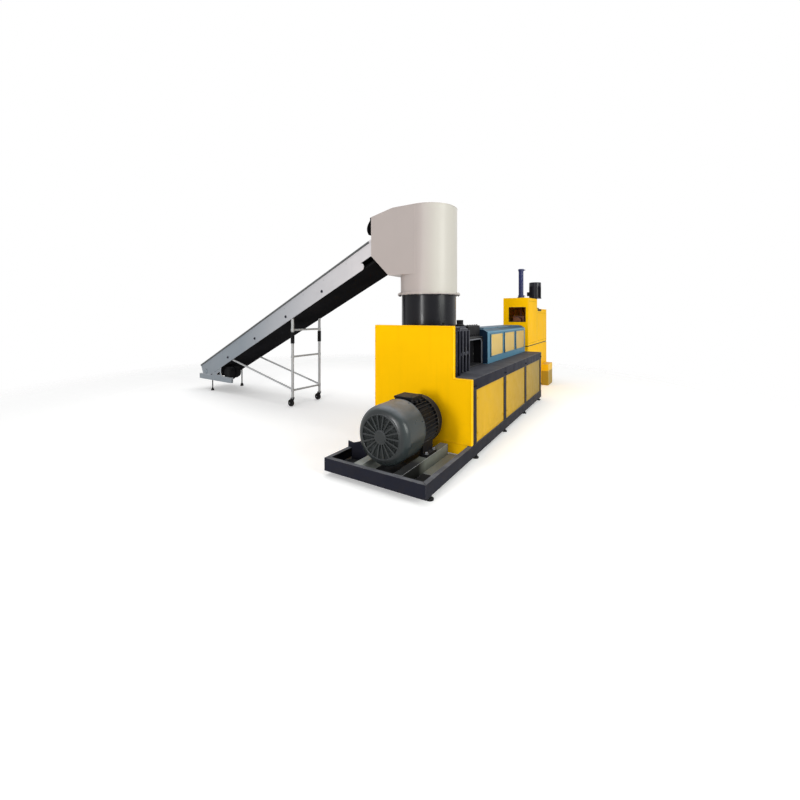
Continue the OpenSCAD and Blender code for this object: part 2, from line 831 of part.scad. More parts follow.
module hood_roof() {
    color([0.80, 0.79, 0.75]) place()
        intersection() {
            slab_y(drum_y - hood_r, drum_y + hood_r, [[hmx, mouth_top], [hbx, roof_z], [dx + hood_r, roof_z],
                [dx + hood_r, roof_z + hood_t], [hbx, roof_z + hood_t], [hmx, mouth_top + hood_t]]);
            translate([0, 0, mouth_top - hood_t]) linear_extrude(roof_fall + 3 * hood_t) union() {
                translate([dx, drum_y]) circle(r = hood_r);
                translate([hmx, drum_y - hood_r]) square([mouth_x, 2 * hood_r]);
            }
        }
}

module inlet_curtain() {
    zt = mouth_top - bar_h + strip_t;
    pitch_y = 2 * hood_r / strip_count;
    fall = (curtain_low - zt) / 8;
    x1 = hmx - 2 * strip_t;
    outer = [for (k = [0 : 8]) [x1 - bow * sin(150 * k / 8), zt + fall * k]];
    inner = [for (k = [8 : -1 : 0]) [x1 + strip_t - bow * sin(150 * k / 8), zt + fall * k]];
    color([0.06, 0.06, 0.06]) place() {
        block(hmx - bar_t, hmx, drum_y - hood_r, drum_y + hood_r, mouth_top - bar_h, mouth_top);
        for (k = [0 : strip_count - 1]) {
            y = drum_y - hood_r + k * pitch_y;
            slab_y(y + 2, y + pitch_y - 2, concat(outer, inner));
        }
    }
}

module conveyor_sides() {
    hp = conv_h - trim_h;
    color([0.68, 0.69, 0.70]) place()
        difference() {
            on_slope() for (s = [-1, 1]) {
                block(-conv_tail, -conv_head, s > 0 ? conv_hw - side_t : -conv_hw,
                    s > 0 ? conv_hw : -conv_hw + side_t, 0, hp);
                block(-conv_tail, -conv_head, s > 0 ? conv_hw - side_t : -conv_hw - 12,
                    s > 0 ? conv_hw + 12 : -conv_hw + side_t, hp, conv_h);
            }
            // Lower strip ends short of the hood with a rounded corner
            on_slope() difference() {
                block(-step_s - 55, 0, -conv_hw - 1, conv_hw + 1, -1, 110);
                rod_y(-step_s - 55, 55, 55, -conv_hw - 2, conv_hw + 2);
            }
            // Near panel stands on the tail beam
            turn() block(-tail_u - 100, -tail_u + tail_len, -conv_hw - 50, 0, -200, tail_top);
        }
}

module conveyor_pan() {
    color([0.10, 0.10, 0.11]) place()
        difference() {
            on_slope() block(-conv_tail + 60, -conv_head, -conv_hw, conv_hw, -pan_t, 0);
            turn() block(-tail_u - 100, -tail_u + tail_len, -conv_hw - 50, -conv_hw + tail_w + clear,
                -200, tail_top);
        }
}

module conveyor_belt() {
    w = conv_hw - 60;
    s0 = -conv_tail + roll_s;
    s1 = -conv_head - roll_s;
    r0 = roll_r + fit;
    r1 = roll_r + fit + belt_t;
    n = floor((s1 - s0) / cleat_gap);
    color([0.08, 0.08, 0.09]) place() on_slope() {
        difference() {
            union() {
                block(s0, s1, -w, w, roll_n - r1, roll_n + r1);
                rod_y(s0, roll_n, r1, -w, w);
                rod_y(s1, roll_n, r1, -w, w);
            }
            block(s0, s1, -w - 1, w + 1, roll_n - r0, roll_n + r0);
            rod_y(s0, roll_n, r0, -w - 1, w + 1);
            rod_y(s1, roll_n, r0, -w - 1, w + 1);
        }
        for (k = [0 : n]) {
            s = s0 + k * cleat_gap;
            block(s, s + 12, -w + 30, w - 30, roll_n + r1 - 1, roll_n + r1 + cleat_h);
            block(s, s + 12, -w + 30, w - 30, roll_n - r1 - cleat_h, roll_n - r1 + 1);
        }
    }
}

module conveyor_rolls() {
    w = conv_hw - 60;
    color([0.30, 0.31, 0.33]) place() on_slope()
        for (s = [-conv_tail + roll_s, -conv_head - roll_s]) {
            rod_y(s, roll_n, roll_r, -w - 8, w + 8);
            rod_y(s, roll_n, shaft_r, -conv_hw + side_t, conv_hw - side_t);
        }
}

module conveyor_motor() {
    v0 = -conv_hw + tail_w;
    v1 = v0 + drive_plate;
    v2 = v1 + drive_len;
    color([0.09, 0.09, 0.10]) place() turn() {
        block(-drive_u - drive_r * 0.75, -drive_u + drive_r * 0.75, v0, v1,
            tail_z + 8, drive_z + drive_r / 2);
        rod_y(-drive_u, drive_z, drive_r, v1 - 1, v2);
        rod_y(-drive_u, drive_z, drive_r - 18, v2 - 1, v2 + drive_cap);
    }
}

module tail_stand() {
    meet = (conv_z - pan_t / cos(pitch) - tail_top) / tan(pitch);
    color([0.60, 0.62, 0.64]) place() turn() {
        block(-tail_u, -tail_u + tail_len, -conv_hw, -conv_hw + tail_w, tail_z, tail_top);
        // Plate between the beam and the panel, cut round the drive
        difference() {
            slab_y(-conv_hw, -conv_hw + 8, [[-meet + 60, tail_top - 1], [-drive_u + 20, tail_top - 1],
                [-drive_u + 20, under(drive_u - 20)], [-meet + 60, under(meet - 60)]]);
            rod_y(-drive_u + 20, drive_z + 40, 170, -conv_hw - 1, -conv_hw + 9);
            slab_y(-conv_hw - 1, -conv_hw + 9,
                [[-drive_u - 330, tail_top + 25], [-drive_u - 190, tail_top + 25],
                [-drive_u - 180, tail_top + 105]]);
        }
    }
}

module stand_legs() {
    color([0.72, 0.73, 0.73]) place()
        difference() {
            turn() for (s = [-1, 1])
                translate([-leg_u, s * leg_v, 0]) difference() {
                    translate([0, 0, leg_z0]) cylinder(r = leg_r, h = under(leg_u));
                    translate([0, 0, leg_z0 - 1]) cylinder(r = 10 + run, h = 61);
                }
            above_pan();
        }
}

module leg_sleeves() {
    color([0.08, 0.08, 0.09]) place() turn()
        for (s = [-1, 1])
            translate([-leg_u, s * leg_v, bar_top - bar_r - 20 - sleeve_h]) difference() {
                cylinder(r = leg_r + 9, h = sleeve_h);
                translate([0, 0, -1]) cylinder(r = leg_r + fit, h = sleeve_h + 2);
            }
}

module stand_tubes() {
    // Brace from the foot of a leg to the underside near the tail
    bz = under(brace_u);
    drop = bz - bar_low - bar_r;
    reach = brace_u - leg_u;
    ang = atan(drop / reach);
    blen = sqrt(reach * reach + drop * drop);
    color([0.72, 0.73, 0.73]) place()
        difference() {
            turn() {
                for (z = [bar_low, bar_mid, bar_top])
                    rod_y(-leg_u, z, bar_r, -leg_v, leg_v);
                for (s = [-1, 1])
                    translate([-brace_u, s * leg_v, bz]) rotate([0, 90 + ang, 0])
                        cylinder(r = bar_r, h = blen);
            }
            turn() for (s = [-1, 1])
                translate([-leg_u, s * leg_v, 0]) cylinder(r = leg_r + fit, h = conv_z);
            above_pan();
        }
}

module castor_fork() {
    color([0.20, 0.20, 0.21]) {
        translate([0, 0, leg_z0 - clear - 8]) cylinder(r = 34, h = 8);
        translate([0, 0, leg_z0 - clear - 1]) cylinder(r = 10, h = 56);
        for (s = [-1, 1])
            slab_y(s > 0 ? wheel_w / 2 + 5 : -wheel_w / 2 - 9, s > 0 ? wheel_w / 2 + 9 : -wheel_w / 2 - 5,
                [[-24, leg_z0 - clear - 7], [24, leg_z0 - clear - 7],
                    [-trail + 16, wheel_r - 16], [-trail - 16, wheel_r - 16]]);
        rod_y(-trail, wheel_r, 6, -wheel_w / 2 - 12, wheel_w / 2 + 12);
    }
}

module castor_wheel() {
    color([0.10, 0.10, 0.11])
        translate([-trail, 0, wheel_r]) rotate([-90, 0, 0]) translate([0, 0, -wheel_w / 2]) difference() {
            cylinder(r = wheel_r, h = wheel_w);
            translate([0, 0, -1]) cylinder(r = 6 + run, h = wheel_w + 2);
            for (z = [-1, wheel_w - 7]) translate([0, 0, z]) difference() {
                cylinder(r = wheel_r - 14, h = 8);
                translate([0, 0, -1]) cylinder(r = 18, h = 10);
            }
        }
}

module near_fork() { place() translate(turned(-leg_u, -leg_v)) castor_fork(); }
module far_fork() { place() translate(turned(-leg_u, leg_v)) castor_fork(); }
module near_wheel() { place() translate(turned(-leg_u, -leg_v)) castor_wheel(); }
module far_wheel() { place() translate(turned(-leg_u, leg_v)) castor_wheel(); }

module pelletizer_base() {
    color([0.92, 0.71, 0.10]) place() {
        block(-pel_hw + 15, pel_hw - 15, pel_y + 15, rear_y1 - 15, 0, pel_base + seam);
        block(-pel_hw, pel_hw, pel_y, rear_y1, 60, pel_base);
    }
}

module pelletizer_cabinet() {
    color([0.93, 0.72, 0.08]) place()
        difference() {
            block(-pel_hw, pel_hw, pel_y, pel_y1, up_z, pel_top);
            block(-pel_hw + pel_t, pel_hw - pel_t, pel_y + pel_t, pel_y1 - pel_t,
                up_z + pel_t, pel_top - pel_t);
            block(win_off - win_w / 2, win_off + win_w / 2, pel_y - 1, pel_y + pel_t + 1,
                win_z, win_z + win_h);
        }
}

module rear_cabinet() {
    color([0.92, 0.71, 0.10]) place()
        difference() {
            block(-pel_hw, pel_hw, pel_y1, rear_y1, up_z, rear_top);
            block(pel_hw - 12, pel_hw + 1, pel_y1 + 60, pel_y1 + 420, rear_top - 50, rear_top - 26);
        }
}

module screen_changer() {
    top = win_z + changer_up;
    color([0.24, 0.12, 0.08]) place() {
        block(-changer_hw, changer_hw, pel_y + changer_y, pel_y + changer_y + changer_d, up_z + pel_t, top);
        rod_y(0, win_z + nozzle_up, nozzle_r, pel_y + changer_y - nozzle_len, pel_y + changer_y + 1);
        translate([0, pel_y + ram_y, top - 1]) cylinder(r = ram_r, h = pel_top - pel_t - top + 1);
    }
}

module slide_cylinder() {
    color([0.14, 0.19, 0.42]) place()
        translate([0, pel_y + ram_y, pel_top]) {
            cylinder(r = cyl_r + 28, h = 26);
            cylinder(r = cyl_r, h = cyl_h);
            translate([0, 0, cyl_h - 40]) cylinder(r = cyl_r + 9, h = 40);
        }
}

module cutter_motor() {
    color([0.18, 0.18, 0.21]) place()
        translate([120, pel_y1 + 400, rear_top]) {
            cylinder(r = 45, h = 240);
            cylinder(r = 85, h = 18);
            translate([0, 0, 236]) cylinder(r = cut_r + 8, h = 20);
            translate([0, 0, 255]) linear_extrude(cut_h - 110) union() {
                circle(r = cut_r - 16);
                for (k = [0 : 23]) rotate(k * 15) translate([cut_r - 30, -3]) square([30, 6]);
            }
            translate([0, 0, 254 + cut_h - 110]) cylinder(r = cut_r, h = 92);
            translate([-cut_r - 40, -55, 300]) cube([70, 110, 90]);
        }
}

module pellet_box() {
    color([0.92, 0.72, 0.12]) place() {
        block(pel_hw, pel_hw + bin_w, bin_y0, bin_y0 + bin_d, 0, bin_h - 150);
        block(pel_hw, pel_hw + bin_w - 6, bin_y0 + 6, bin_y0 + bin_d - 6, bin_h - 151, bin_h - 142);
        block(pel_hw, pel_hw + bin_w, bin_y0, bin_y0 + bin_d, bin_h - 143, bin_h);
    }
}

skid_side_rails();
skid_end_rails();
skid_crossmembers();
outrigger();
floor_feet();
deck_plate();
jack_bracket();
motor_rails();
motor_housing();
motor_fan_cowl();
motor_fan();
motor_end_shield();
motor_terminal_box();
belt_guard();
belt_housing();
drive_cabinet();
bed_posts();
bed_top();
right_panels();
left_panels();
gearbox();
gearbox_breather();
feed_section();
barrel_cover();
cover_panels();
die_adaptor();
compactor_base();
drum_floor();
compactor_drum();
hood_collar();
hood_side_walls();
hood_round_wall();
hood_floor();
hood_roof();
inlet_curtain();
conveyor_sides();
conveyor_pan();
conveyor_belt();
conveyor_rolls();
conveyor_motor();
tail_stand();
stand_legs();
leg_sleeves();
stand_tubes();
near_fork();
far_fork();
near_wheel();
far_wheel();
pelletizer_base();
pelletizer_cabinet();
rear_cabinet();
screen_changer();
slide_cylinder();
cutter_motor();
pellet_box();
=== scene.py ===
import json
from math import cos, pi, radians, sin

import bmesh
import bpy
from mathutils import Matrix, Vector


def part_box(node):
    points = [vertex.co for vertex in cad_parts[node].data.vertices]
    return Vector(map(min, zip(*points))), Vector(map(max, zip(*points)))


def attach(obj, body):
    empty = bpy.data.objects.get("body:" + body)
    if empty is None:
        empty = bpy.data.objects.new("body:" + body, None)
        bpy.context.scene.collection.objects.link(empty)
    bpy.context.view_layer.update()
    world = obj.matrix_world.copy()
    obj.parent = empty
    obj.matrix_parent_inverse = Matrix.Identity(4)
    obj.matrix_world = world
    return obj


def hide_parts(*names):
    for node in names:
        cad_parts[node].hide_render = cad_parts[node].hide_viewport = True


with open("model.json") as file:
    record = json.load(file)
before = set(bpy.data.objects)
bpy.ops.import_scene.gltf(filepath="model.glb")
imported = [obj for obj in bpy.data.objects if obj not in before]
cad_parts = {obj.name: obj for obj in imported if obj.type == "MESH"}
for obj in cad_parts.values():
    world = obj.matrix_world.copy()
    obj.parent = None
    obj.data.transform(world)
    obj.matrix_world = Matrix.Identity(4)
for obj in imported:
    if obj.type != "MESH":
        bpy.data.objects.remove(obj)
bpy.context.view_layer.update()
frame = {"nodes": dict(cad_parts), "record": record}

NODES = frame["nodes"]
BOX = {name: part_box(name) for name in NODES}
X, Y, Z = Vector((1, 0, 0)), Vector((0, 1, 0)), Vector((0, 0, 1))
shift = Matrix.Translation


# Layout: boxes of the frame, and the part's own values where no box gives them

SKID_LO, SKID_HI = BOX["skid_side_rails"]
COWL_LO, COWL_HI = BOX["motor_fan_cowl"]
COVER_LO, COVER_HI = BOX["barrel_cover"]
DRUM_LO, DRUM_HI = BOX["compactor_drum"]
FOOT_H = SKID_LO.z
RAIL_W = 0.050
POST_W = 0.110
# Between the panels of the barrel cover
PANEL_GAP = 0.115
BED_Z = BOX["bed_top"][1].z
SCREW_X = (COVER_LO.x + COVER_HI.x) / 2
# Screw axis over the bed
SCREW_UP = 0.230
MOTOR_Y = BOX["motor_housing"][0].y
MOTOR_Z = (COWL_LO.z + COWL_HI.z) / 2
COWL_R = (COWL_HI.x - COWL_LO.x) / 2
DRUM_X = (DRUM_LO.x + DRUM_HI.x) / 2
DRUM_Y = (DRUM_LO.y + DRUM_HI.y) / 2
# The drum's floor stands out past its wall by this lip
FLOOR_LIP = 0.008
DRUM_R = BOX["drum_floor"][1].y - DRUM_Y - FLOOR_LIP
FLANGE_Z = DRUM_HI.z
FLANGE_R = DRUM_HI.x - DRUM_X
HOOD_R = BOX["hood_round_wall"][1].y - DRUM_Y
HOOD_Z = BOX["hood_collar"][1].z

# Slope of the conveyor: x up the slope, y across, z square to the belt
PITCH = radians(24.9)
YAW = radians(1.8)
CONVEYOR_RISE = 0.557
# Room between the conveyor and the hood's wall
HOOD_ROOM = 0.061
CONVEYOR_HALF = HOOD_R - HOOD_ROOM
PANEL_H = 0.329
TRIM_H = 0.026
TAIL_S = 5.959
TURN = shift((DRUM_X, DRUM_Y, 0)) @ Matrix.Rotation(-YAW, 4, "Z")
SLOPE = TURN @ shift((0, 0, HOOD_Z + CONVEYOR_RISE)) @ Matrix.Rotation(-PITCH, 4, "Y")


# Materials

def srgb(red, green, blue):
    """Linear colour of an sRGB triple in 0 to 255."""
    def linear(value):
        value /= 255
        return value / 12.92 if value <= 0.04045 else ((value + 0.055) / 1.055) ** 2.4
    return (linear(red), linear(green), linear(blue), 1.0)


def scaled(colour, by):
    """Colour made lighter or darker."""
    return tuple(min(1.0, c * by) for c in colour[:3]) + (1.0,)


# Places of the colour sockets on a mix node
MIX_A, MIX_B, MIX_RESULT = 6, 7, 2


class Graph:
    """A material's nodes with short calls for the ones used here."""

    def __init__(self, name):
        self.material = bpy.data.materials.new(name)
        self.material.use_nodes = True
        self.nodes = self.material.node_tree.nodes
        self.links = self.material.node_tree.links
        self.shader = self.nodes["Principled BSDF"]
        self.coords = self.node("TexCoord", {}).outputs["Object"]

    def feed(self, socket, value):
        """Links an output to a socket, or sets a number or colour on it."""
        if isinstance(value, bpy.types.NodeSocket):
            self.links.new(value, socket)
        else:
            socket.default_value = value

    def set(self, name, value):
        """Feeds a socket of the shader."""
        self.feed(self.shader.inputs[name], value)

    def node(self, kind, inputs, **settings):
        """New node with its settings made and its sockets fed."""
        made = self.nodes.new("ShaderNode" + kind)
        for name, value in settings.items():
            setattr(made, name, value)
        for socket, value in inputs.items():
            self.feed(made.inputs[socket], value)
        return made

    def noise(self, scale, detail=4.0, rough=0.55, stretch=(1, 1, 1)):
        """Noise over the object's own coordinates."""
        place = self.node("Mapping", {"Vector": self.coords, "Scale": stretch}).outputs["Vector"]
        fed = {"Vector": place, "Scale": scale, "Detail": detail, "Roughness": rough}
        return self.node("TexNoise", fed).outputs["Fac"]

    def span(self, value, low, high, to_low=0.0, to_high=1.0):
        """Maps a range of a value to another range and clamps it."""
        limits = {"From Min": low, "From Max": high, "To Min": to_low, "To Max": to_high}
        return self.node("MapRange", {"Value": value, **limits}).outputs["Result"]

    def math(self, kind, a, b):
        """One arithmetic step between two values."""
        return self.node("Math", {0: a, 1: b}, operation=kind).outputs["Value"]

    def mix(self, factor, a, b):
        """Colour mix by a factor."""
        fed = {"Factor": factor, MIX_A: a, MIX_B: b}
        return self.node("Mix", fed, data_type="RGBA").outputs[MIX_RESULT]

    def axis(self, source, letter):
        """One component of a vector."""
        return self.node("SeparateXYZ", {"Vector": source}).outputs[letter]

    def normal(self):
        """Direction that a surface faces."""
        return self.node("NewGeometry", {}).outputs["Normal"]

    def upward(self):
        """How far a surface faces up, from 0 to 1."""
        return self.span(self.axis(self.normal(), "Z"), 0.55, 0.98)

    def bump(self, height, strength, distance):
        """Bump from a height value."""
        made = self.node("Bump", {"Height": height, "Strength": strength, "Distance": distance})
        self.set("Normal", made.outputs["Normal"])


# Pale colour on faces that look up: dust, and on the frame paint partly a painted highlight
DUST_AND_SHEEN_COLOUR = srgb(158, 160, 166)
GRIME = srgb(48, 42, 34)


def paint(name, colour, rough, tone, dust_and_sheen=0.2, grime=0.25, gloss=0.3, coat=0.0, peel=0.10,
          runs=0.14, fades=(), end=None, top=None):
    """Enamel on steel: uneven tone, streaks, dust and painted highlight on top faces, grime near the
    floor, orange peel.

    runs is how strong the streaks down the upright faces are; dust_and_sheen is how much pale colour
    lies on top faces, as dust and, where high as on the frame paint, a painted highlight.
    Each fade is (axis, start, stop, colour) for paint that drifts to another colour along an axis;
    where marked at the table, a fade is painted shade or painted light.
    end is the colour of the faces that look to the front of the skid, and top of those that look up;
    both are painted shade, darker colours given by the way a face looks.
    """
    g = Graph(name)
    patches = g.span(g.noise(1.6, 5.0), 0.32, 0.68)
    base = g.mix(patches, scaled(colour, 1 - tone), scaled(colour, 1 + tone * 0.6))
    # Fades along an axis; some are painted shade or painted light, as marked where they are set
    for letter, start, stop, other in fades:
        base = g.mix(g.span(g.axis(g.coords, letter), start, stop), base, other)
    # Painted shade: end darkens faces that look to the front, top darkens faces that look up
    if end:
        base = g.mix(g.span(g.axis(g.normal(), "Y"), -0.7, -0.95), base, end)
    if top:
        base = g.mix(g.span(g.axis(g.normal(), "Z"), 0.80, 0.95), base, top)
    streak = g.span(g.noise(9.0, 3.0, 0.6, (1, 1, 0.07)), 0.52, 0.80)
    base = g.mix(g.math("MULTIPLY", streak, runs), base, scaled(colour, 0.55))
    low = g.span(g.axis(g.coords, "Z"), 0.50, 0.02, 0.0, grime)
    speck = g.span(g.noise(14.0, 6.0, 0.7), 0.42, 0.66)
    base = g.mix(g.math("MULTIPLY", low, speck), base, GRIME)
    # Pale tops: dust, and where dust_and_sheen is high, a painted highlight of the sky
    upward_patches = g.math("MULTIPLY", g.upward(), g.span(g.noise(5.0, 6.0, 0.65), 0.30, 0.72, 0.35, 1.0))
    base = g.mix(g.math("MULTIPLY", upward_patches, dust_and_sheen), base, DUST_AND_SHEEN_COLOUR)
    g.set("Base Color", base)
    sheen = g.span(g.noise(7.0, 4.0), 0.3, 0.7, rough * 0.86, rough * 1.18)
    g.set("Roughness", g.math("ADD", sheen, g.math("MULTIPLY", upward_patches, dust_and_sheen * 0.6)))
    g.set("Specular IOR Level", gloss)
    g.set("Coat Weight", coat)
    g.set("Coat Roughness", 0.10)
    g.bump(g.noise(320.0, 2.0), peel, 0.0010)
    return g.material


def worn_highlit_edge(name, colour):
    """Edge of painted steel, painted a quarter lighter all along as a highlight, where the coat is thin
    and rubbed through in places.
    """
    bare = 0.40
    g = Graph(name)
    rubbed = g.span(g.noise(24.0, 6.0, 0.7), 0.52, 0.66, 0.0, bare)
    # Painted highlight: the edge colour is the paint made a quarter lighter; the rubbed patches are
    # wear
    g.set("Base Color", g.mix(rubbed, scaled(colour, 1.25), srgb(150, 148, 144)))
    g.set("Metallic", g.math("MULTIPLY", rubbed, 0.8))
    g.set("Roughness", g.span(g.noise(30.0), 0.3, 0.7, 0.34, 0.50))
    g.set("Specular IOR Level", 0.3)
    g.bump(g.noise(140.0, 3.0), 0.15, 0.0008)
    return g.material


def steel(name, colour, rough, rust=0.15, bright=0.92):
    """Machined or rolled steel with fine grain, stains and a little rust in patches."""
    grain = (1, 1, 30)
    g = Graph(name)
    patches = g.span(g.noise(4.0, 5.0), 0.3, 0.7)
    base = g.mix(patches, scaled(colour, 0.78), scaled(colour, 1.08))
    stain = g.span(g.noise(11.0, 7.0, 0.7), 0.56, 0.74, 0.0, rust)
    g.set("Base Color", g.mix(stain, base, srgb(104, 70, 46)))
    g.set("Metallic", g.math("SUBTRACT", bright, stain))
    lines = g.noise(60.0, 3.0, 0.6, grain)
    g.set("Roughness", g.span(lines, 0.25, 0.75, rough - 0.08, rough + 0.14))
    g.bump(lines, 0.08, 0.0008)
    return g.material


def rubber(name, colour):
    """Black rubber with a bloom of dust and a fine moulded grain."""
    rough = 0.72
    g = Graph(name)
    bloom = g.span(g.noise(6.0, 6.0, 0.65), 0.4, 0.75, 0.0, 0.20)
    base = g.mix(bloom, colour, scaled(colour, 2.2))
    upward_patches = g.math("MULTIPLY", g.upward(), g.span(g.noise(9.0, 5.0), 0.35, 0.7, 0.05, 0.16))
    g.set("Base Color", g.mix(upward_patches, base, DUST_AND_SHEEN_COLOUR))
    g.set("Roughness", g.span(g.noise(18.0), 0.3, 0.7, rough - 0.1, rough + 0.12))
    g.set("Specular IOR Level", 0.2)
    g.bump(g.noise(260.0, 3.0), 0.25, 0.001)
    return g.material


HOOD_COLOUR = srgb(180, 170, 166)
# Painted shade: the bed's side panels and the cover's panels darken towards the rear of the skid
SHADE_ALONG_SKID = ("Y", SKID_LO.y + 1.6, SKID_HI.y - 0.3)
UP_CONVEYOR = ("X", SKID_LO.x - 0.7, SKID_LO.x - 3.9)
# Painted light: the hood's paint grows paler across its round side, where the light from the right
# falls
LIGHT_ON_ROUND_HOOD = ("X", DRUM_X + 0.08, DRUM_X + 0.27)
UNDER_FLANGE = ("Z", FLANGE_Z - 0.0155, FLANGE_Z - 0.0145)
# Painted shadow: the motor rails turn near black under the fan cowl and in front of it
MOTOR_SHADOW = ("Y", MOTOR_Y + 0.02, MOTOR_Y - 0.12)
LEFT_OF_MOTOR = ("X", SCREW_X + 0.05, SCREW_X - 0.05)
# Painted shade: the low box's side is darker below its fold
SHADE_BELOW_PELLET_BOX_FOLD = ("Z", 0.337, 0.333)
# Finish of each slot: its colour and how it has aged, and the painted shade and light marked below
FINISH = {
    "yellow_paint": (srgb(250, 191, 3), dict(rough=0.46, tone=0.05, dust_and_sheen=0.10, grime=0.15, gloss=0.02)),
    # The two panel paints: painted shade, darker towards the rear
    "yellow_panel": (srgb(208, 163, 30), dict(
        rough=0.42, tone=0.07, dust_and_sheen=0.15, grime=0.20, gloss=0.05,
        fades=[(*SHADE_ALONG_SKID, srgb(150, 126, 60))])),
    "pale_panel": (srgb(222, 192, 115), dict(
        rough=0.45, tone=0.08, grime=0.0, fades=[(*SHADE_ALONG_SKID, srgb(192, 156, 66))])),
    # frame_paint: the high dust amount is partly a painted highlight, the sheen of the sky on the
    # frame's top faces
    "frame_paint": (srgb(32, 33, 42), dict(rough=0.40, tone=0.16, dust_and_sheen=0.55, grime=0.20, gloss=0.03)),
    "dark_paint": (srgb(30, 31, 42), dict(rough=0.38, tone=0.14, dust_and_sheen=0.30, gloss=0.02)),
    # motor_paint: painted shade, darker on the faces that look to the front, the fan cowl's face among
    # them
    "motor_paint": (srgb(43, 50, 51), dict(
        rough=0.30, tone=0.10, dust_and_sheen=0.60, coat=0.06, end=srgb(36, 39, 40))),
    "drum_paint": (srgb(26, 26, 34), dict(rough=0.20, tone=0.12, dust_and_sheen=0.16, gloss=0.22, peel=0.05)),
    # hood_paint: painted light, paler on the round side
    "hood_paint": (HOOD_COLOUR, dict(
        rough=0.32, tone=0.02, dust_and_sheen=0.08, gloss=0.18, peel=0.06, runs=0.03,
        fades=[(*LIGHT_ON_ROUND_HOOD, srgb(195, 191, 183))])),
    # blue_paint: painted shade, darker on faces that look to the front and on those that look up
    "blue_paint": (srgb(80, 125, 149), dict(
        rough=0.36, tone=0.10, dust_and_sheen=0.05, gloss=0.06, end=srgb(22, 40, 60), top=srgb(34, 72, 94))),
    "cylinder_paint": (srgb(26, 34, 84), dict(rough=0.28, tone=0.10, dust_and_sheen=0.15, gloss=0.25)),
    "grey_sheet": (srgb(216, 212, 214), dict(
        rough=0.36, tone=0.05, dust_and_sheen=0.12, grime=0.15, gloss=0.35,
        fades=[(*UP_CONVEYOR, srgb(134, 142, 150))])),
    "tube_paint": (srgb(176, 177, 178), dict(rough=0.40, tone=0.06, dust_and_sheen=0.12)),
    "black_paint": (srgb(23, 23, 25), dict(rough=0.50, tone=0.20, dust_and_sheen=0.12, grime=0.15, gloss=0.06)),
    "bare_steel": (srgb(150, 151, 154), dict(rough=0.34)),
    "black_rubber": (srgb(20, 20, 21), {}),
    "cast_iron": (srgb(46, 47, 56), dict(rough=0.44, tone=0.14, dust_and_sheen=0.26, gloss=0.12, peel=0.30)),
}
MAKER = {"bare_steel": steel, "black_rubber": rubber}
MATERIAL = {slot: MAKER.get(slot, paint)(slot, colour, **aged)
            for slot, (colour, aged) in FINISH.items()}
# Edge finish of each slot: wear, and a painted highlight
EDGE = {slot: worn_highlit_edge(slot + "_edge", colour) for slot, (colour, _) in FINISH.items()}
SLOT_OF = {part["node"]: part["material_slot"] for part in frame["record"]["subparts"]}
# Nodes and pieces whose finish differs from the rest of their slot
LOOK = {
    "deck_plate": steel("dusty_plate", srgb(150, 153, 146), rough=0.55, rust=0.40, bright=0.30),
    # Motor rails: painted shadow, near black from the motor's front forward
    "motor_rails": paint(
        "rail_paint_and_shadow", srgb(112, 115, 108), rough=0.50, tone=0.14, dust_and_sheen=0.10, grime=0.15, gloss=0.06,
        fades=[(*MOTOR_SHADOW, srgb(27, 28, 27)), (*LEFT_OF_MOTOR, srgb(150, 154, 150))]),
    "compactor_drum": paint(
        "drum_gloss", srgb(15, 15, 21), rough=0.24, tone=0.10, dust_and_sheen=0.14, gloss=0.20, peel=0.03,
        runs=0.05, fades=[(*UNDER_FLANGE, HOOD_COLOUR)]),
    "conveyor_pan": paint("pan_black", srgb(30, 30, 32), rough=0.75, tone=0.25, grime=0.0, gloss=0.0),
    "screen_changer": paint("hot_iron", srgb(150, 98, 66), rough=0.5, tone=0.3, gloss=0.2, peel=0.3),
    # Low box: painted shade below its fold
    "pellet_box": paint(
        "pellet_yellow_and_shade", srgb(240, 190, 14), rough=0.44, tone=0.06, gloss=0.15, grime=0.08,
        fades=[(*SHADE_BELOW_PELLET_BOX_FOLD, srgb(166, 136, 44))]),
    "fan_wires": paint("wire_paint", srgb(74, 78, 78), rough=0.45, tone=0.1, gloss=0.1),
    "feed_arch_rim": paint("arch_rim", srgb(88, 90, 96), rough=0.4, tone=0.15),
    "die_heaters": steel("heater_band", srgb(150, 140, 124), rough=0.4),
    "conveyor_strips": paint("edge_strip", srgb(84, 86, 86), rough=0.5, tone=0.15, dust_and_sheen=0.1),
    "cabinet_seams": paint("seam_paint", srgb(176, 132, 10), rough=0.6, tone=0.05, gloss=0.02),
}
LOOK["pellet_box_rims"] = LOOK["pellet_box"]


# Dressing of the frame's own nodes

# Edges that turn by more than this stay sharp
SHARP = radians(38)


def smooth_group():
    """Geometry nodes that shade smooth and keep edges above an angle sharp."""
    group = bpy.data.node_groups.new("smooth_by_angle", "GeometryNodeTree")
    for way in ("INPUT", "OUTPUT"):
        group.interface.new_socket("Geometry", in_out=way, socket_type="NodeSocketGeometry")
    n, link = group.nodes, group.links.new
    start, end = n.new("NodeGroupInput"), n.new("NodeGroupOutput")
    plain = n.new("GeometryNodeRemoveAttribute")
    plain.inputs["Name"].default_value = "custom_normal"
    faces, edges = n.new("GeometryNodeSetShadeSmooth"), n.new("GeometryNodeSetShadeSmooth")
    edges.domain = "EDGE"
    edges.inputs["Shade Smooth"].default_value = False
    angle, sharp = n.new("GeometryNodeInputMeshEdgeAngle"), n.new("FunctionNodeCompare")
    sharp.inputs[1].default_value = SHARP
    for a, b in ((start, plain), (plain, faces), (faces, edges), (edges, end)):
        link(a.outputs["Geometry"], b.inputs["Geometry"])
    link(angle.outputs["Unsigned Angle"], sharp.inputs[0])
    link(sharp.outputs["Result"], edges.inputs["Selection"])
    return group


SMOOTH = smooth_group()
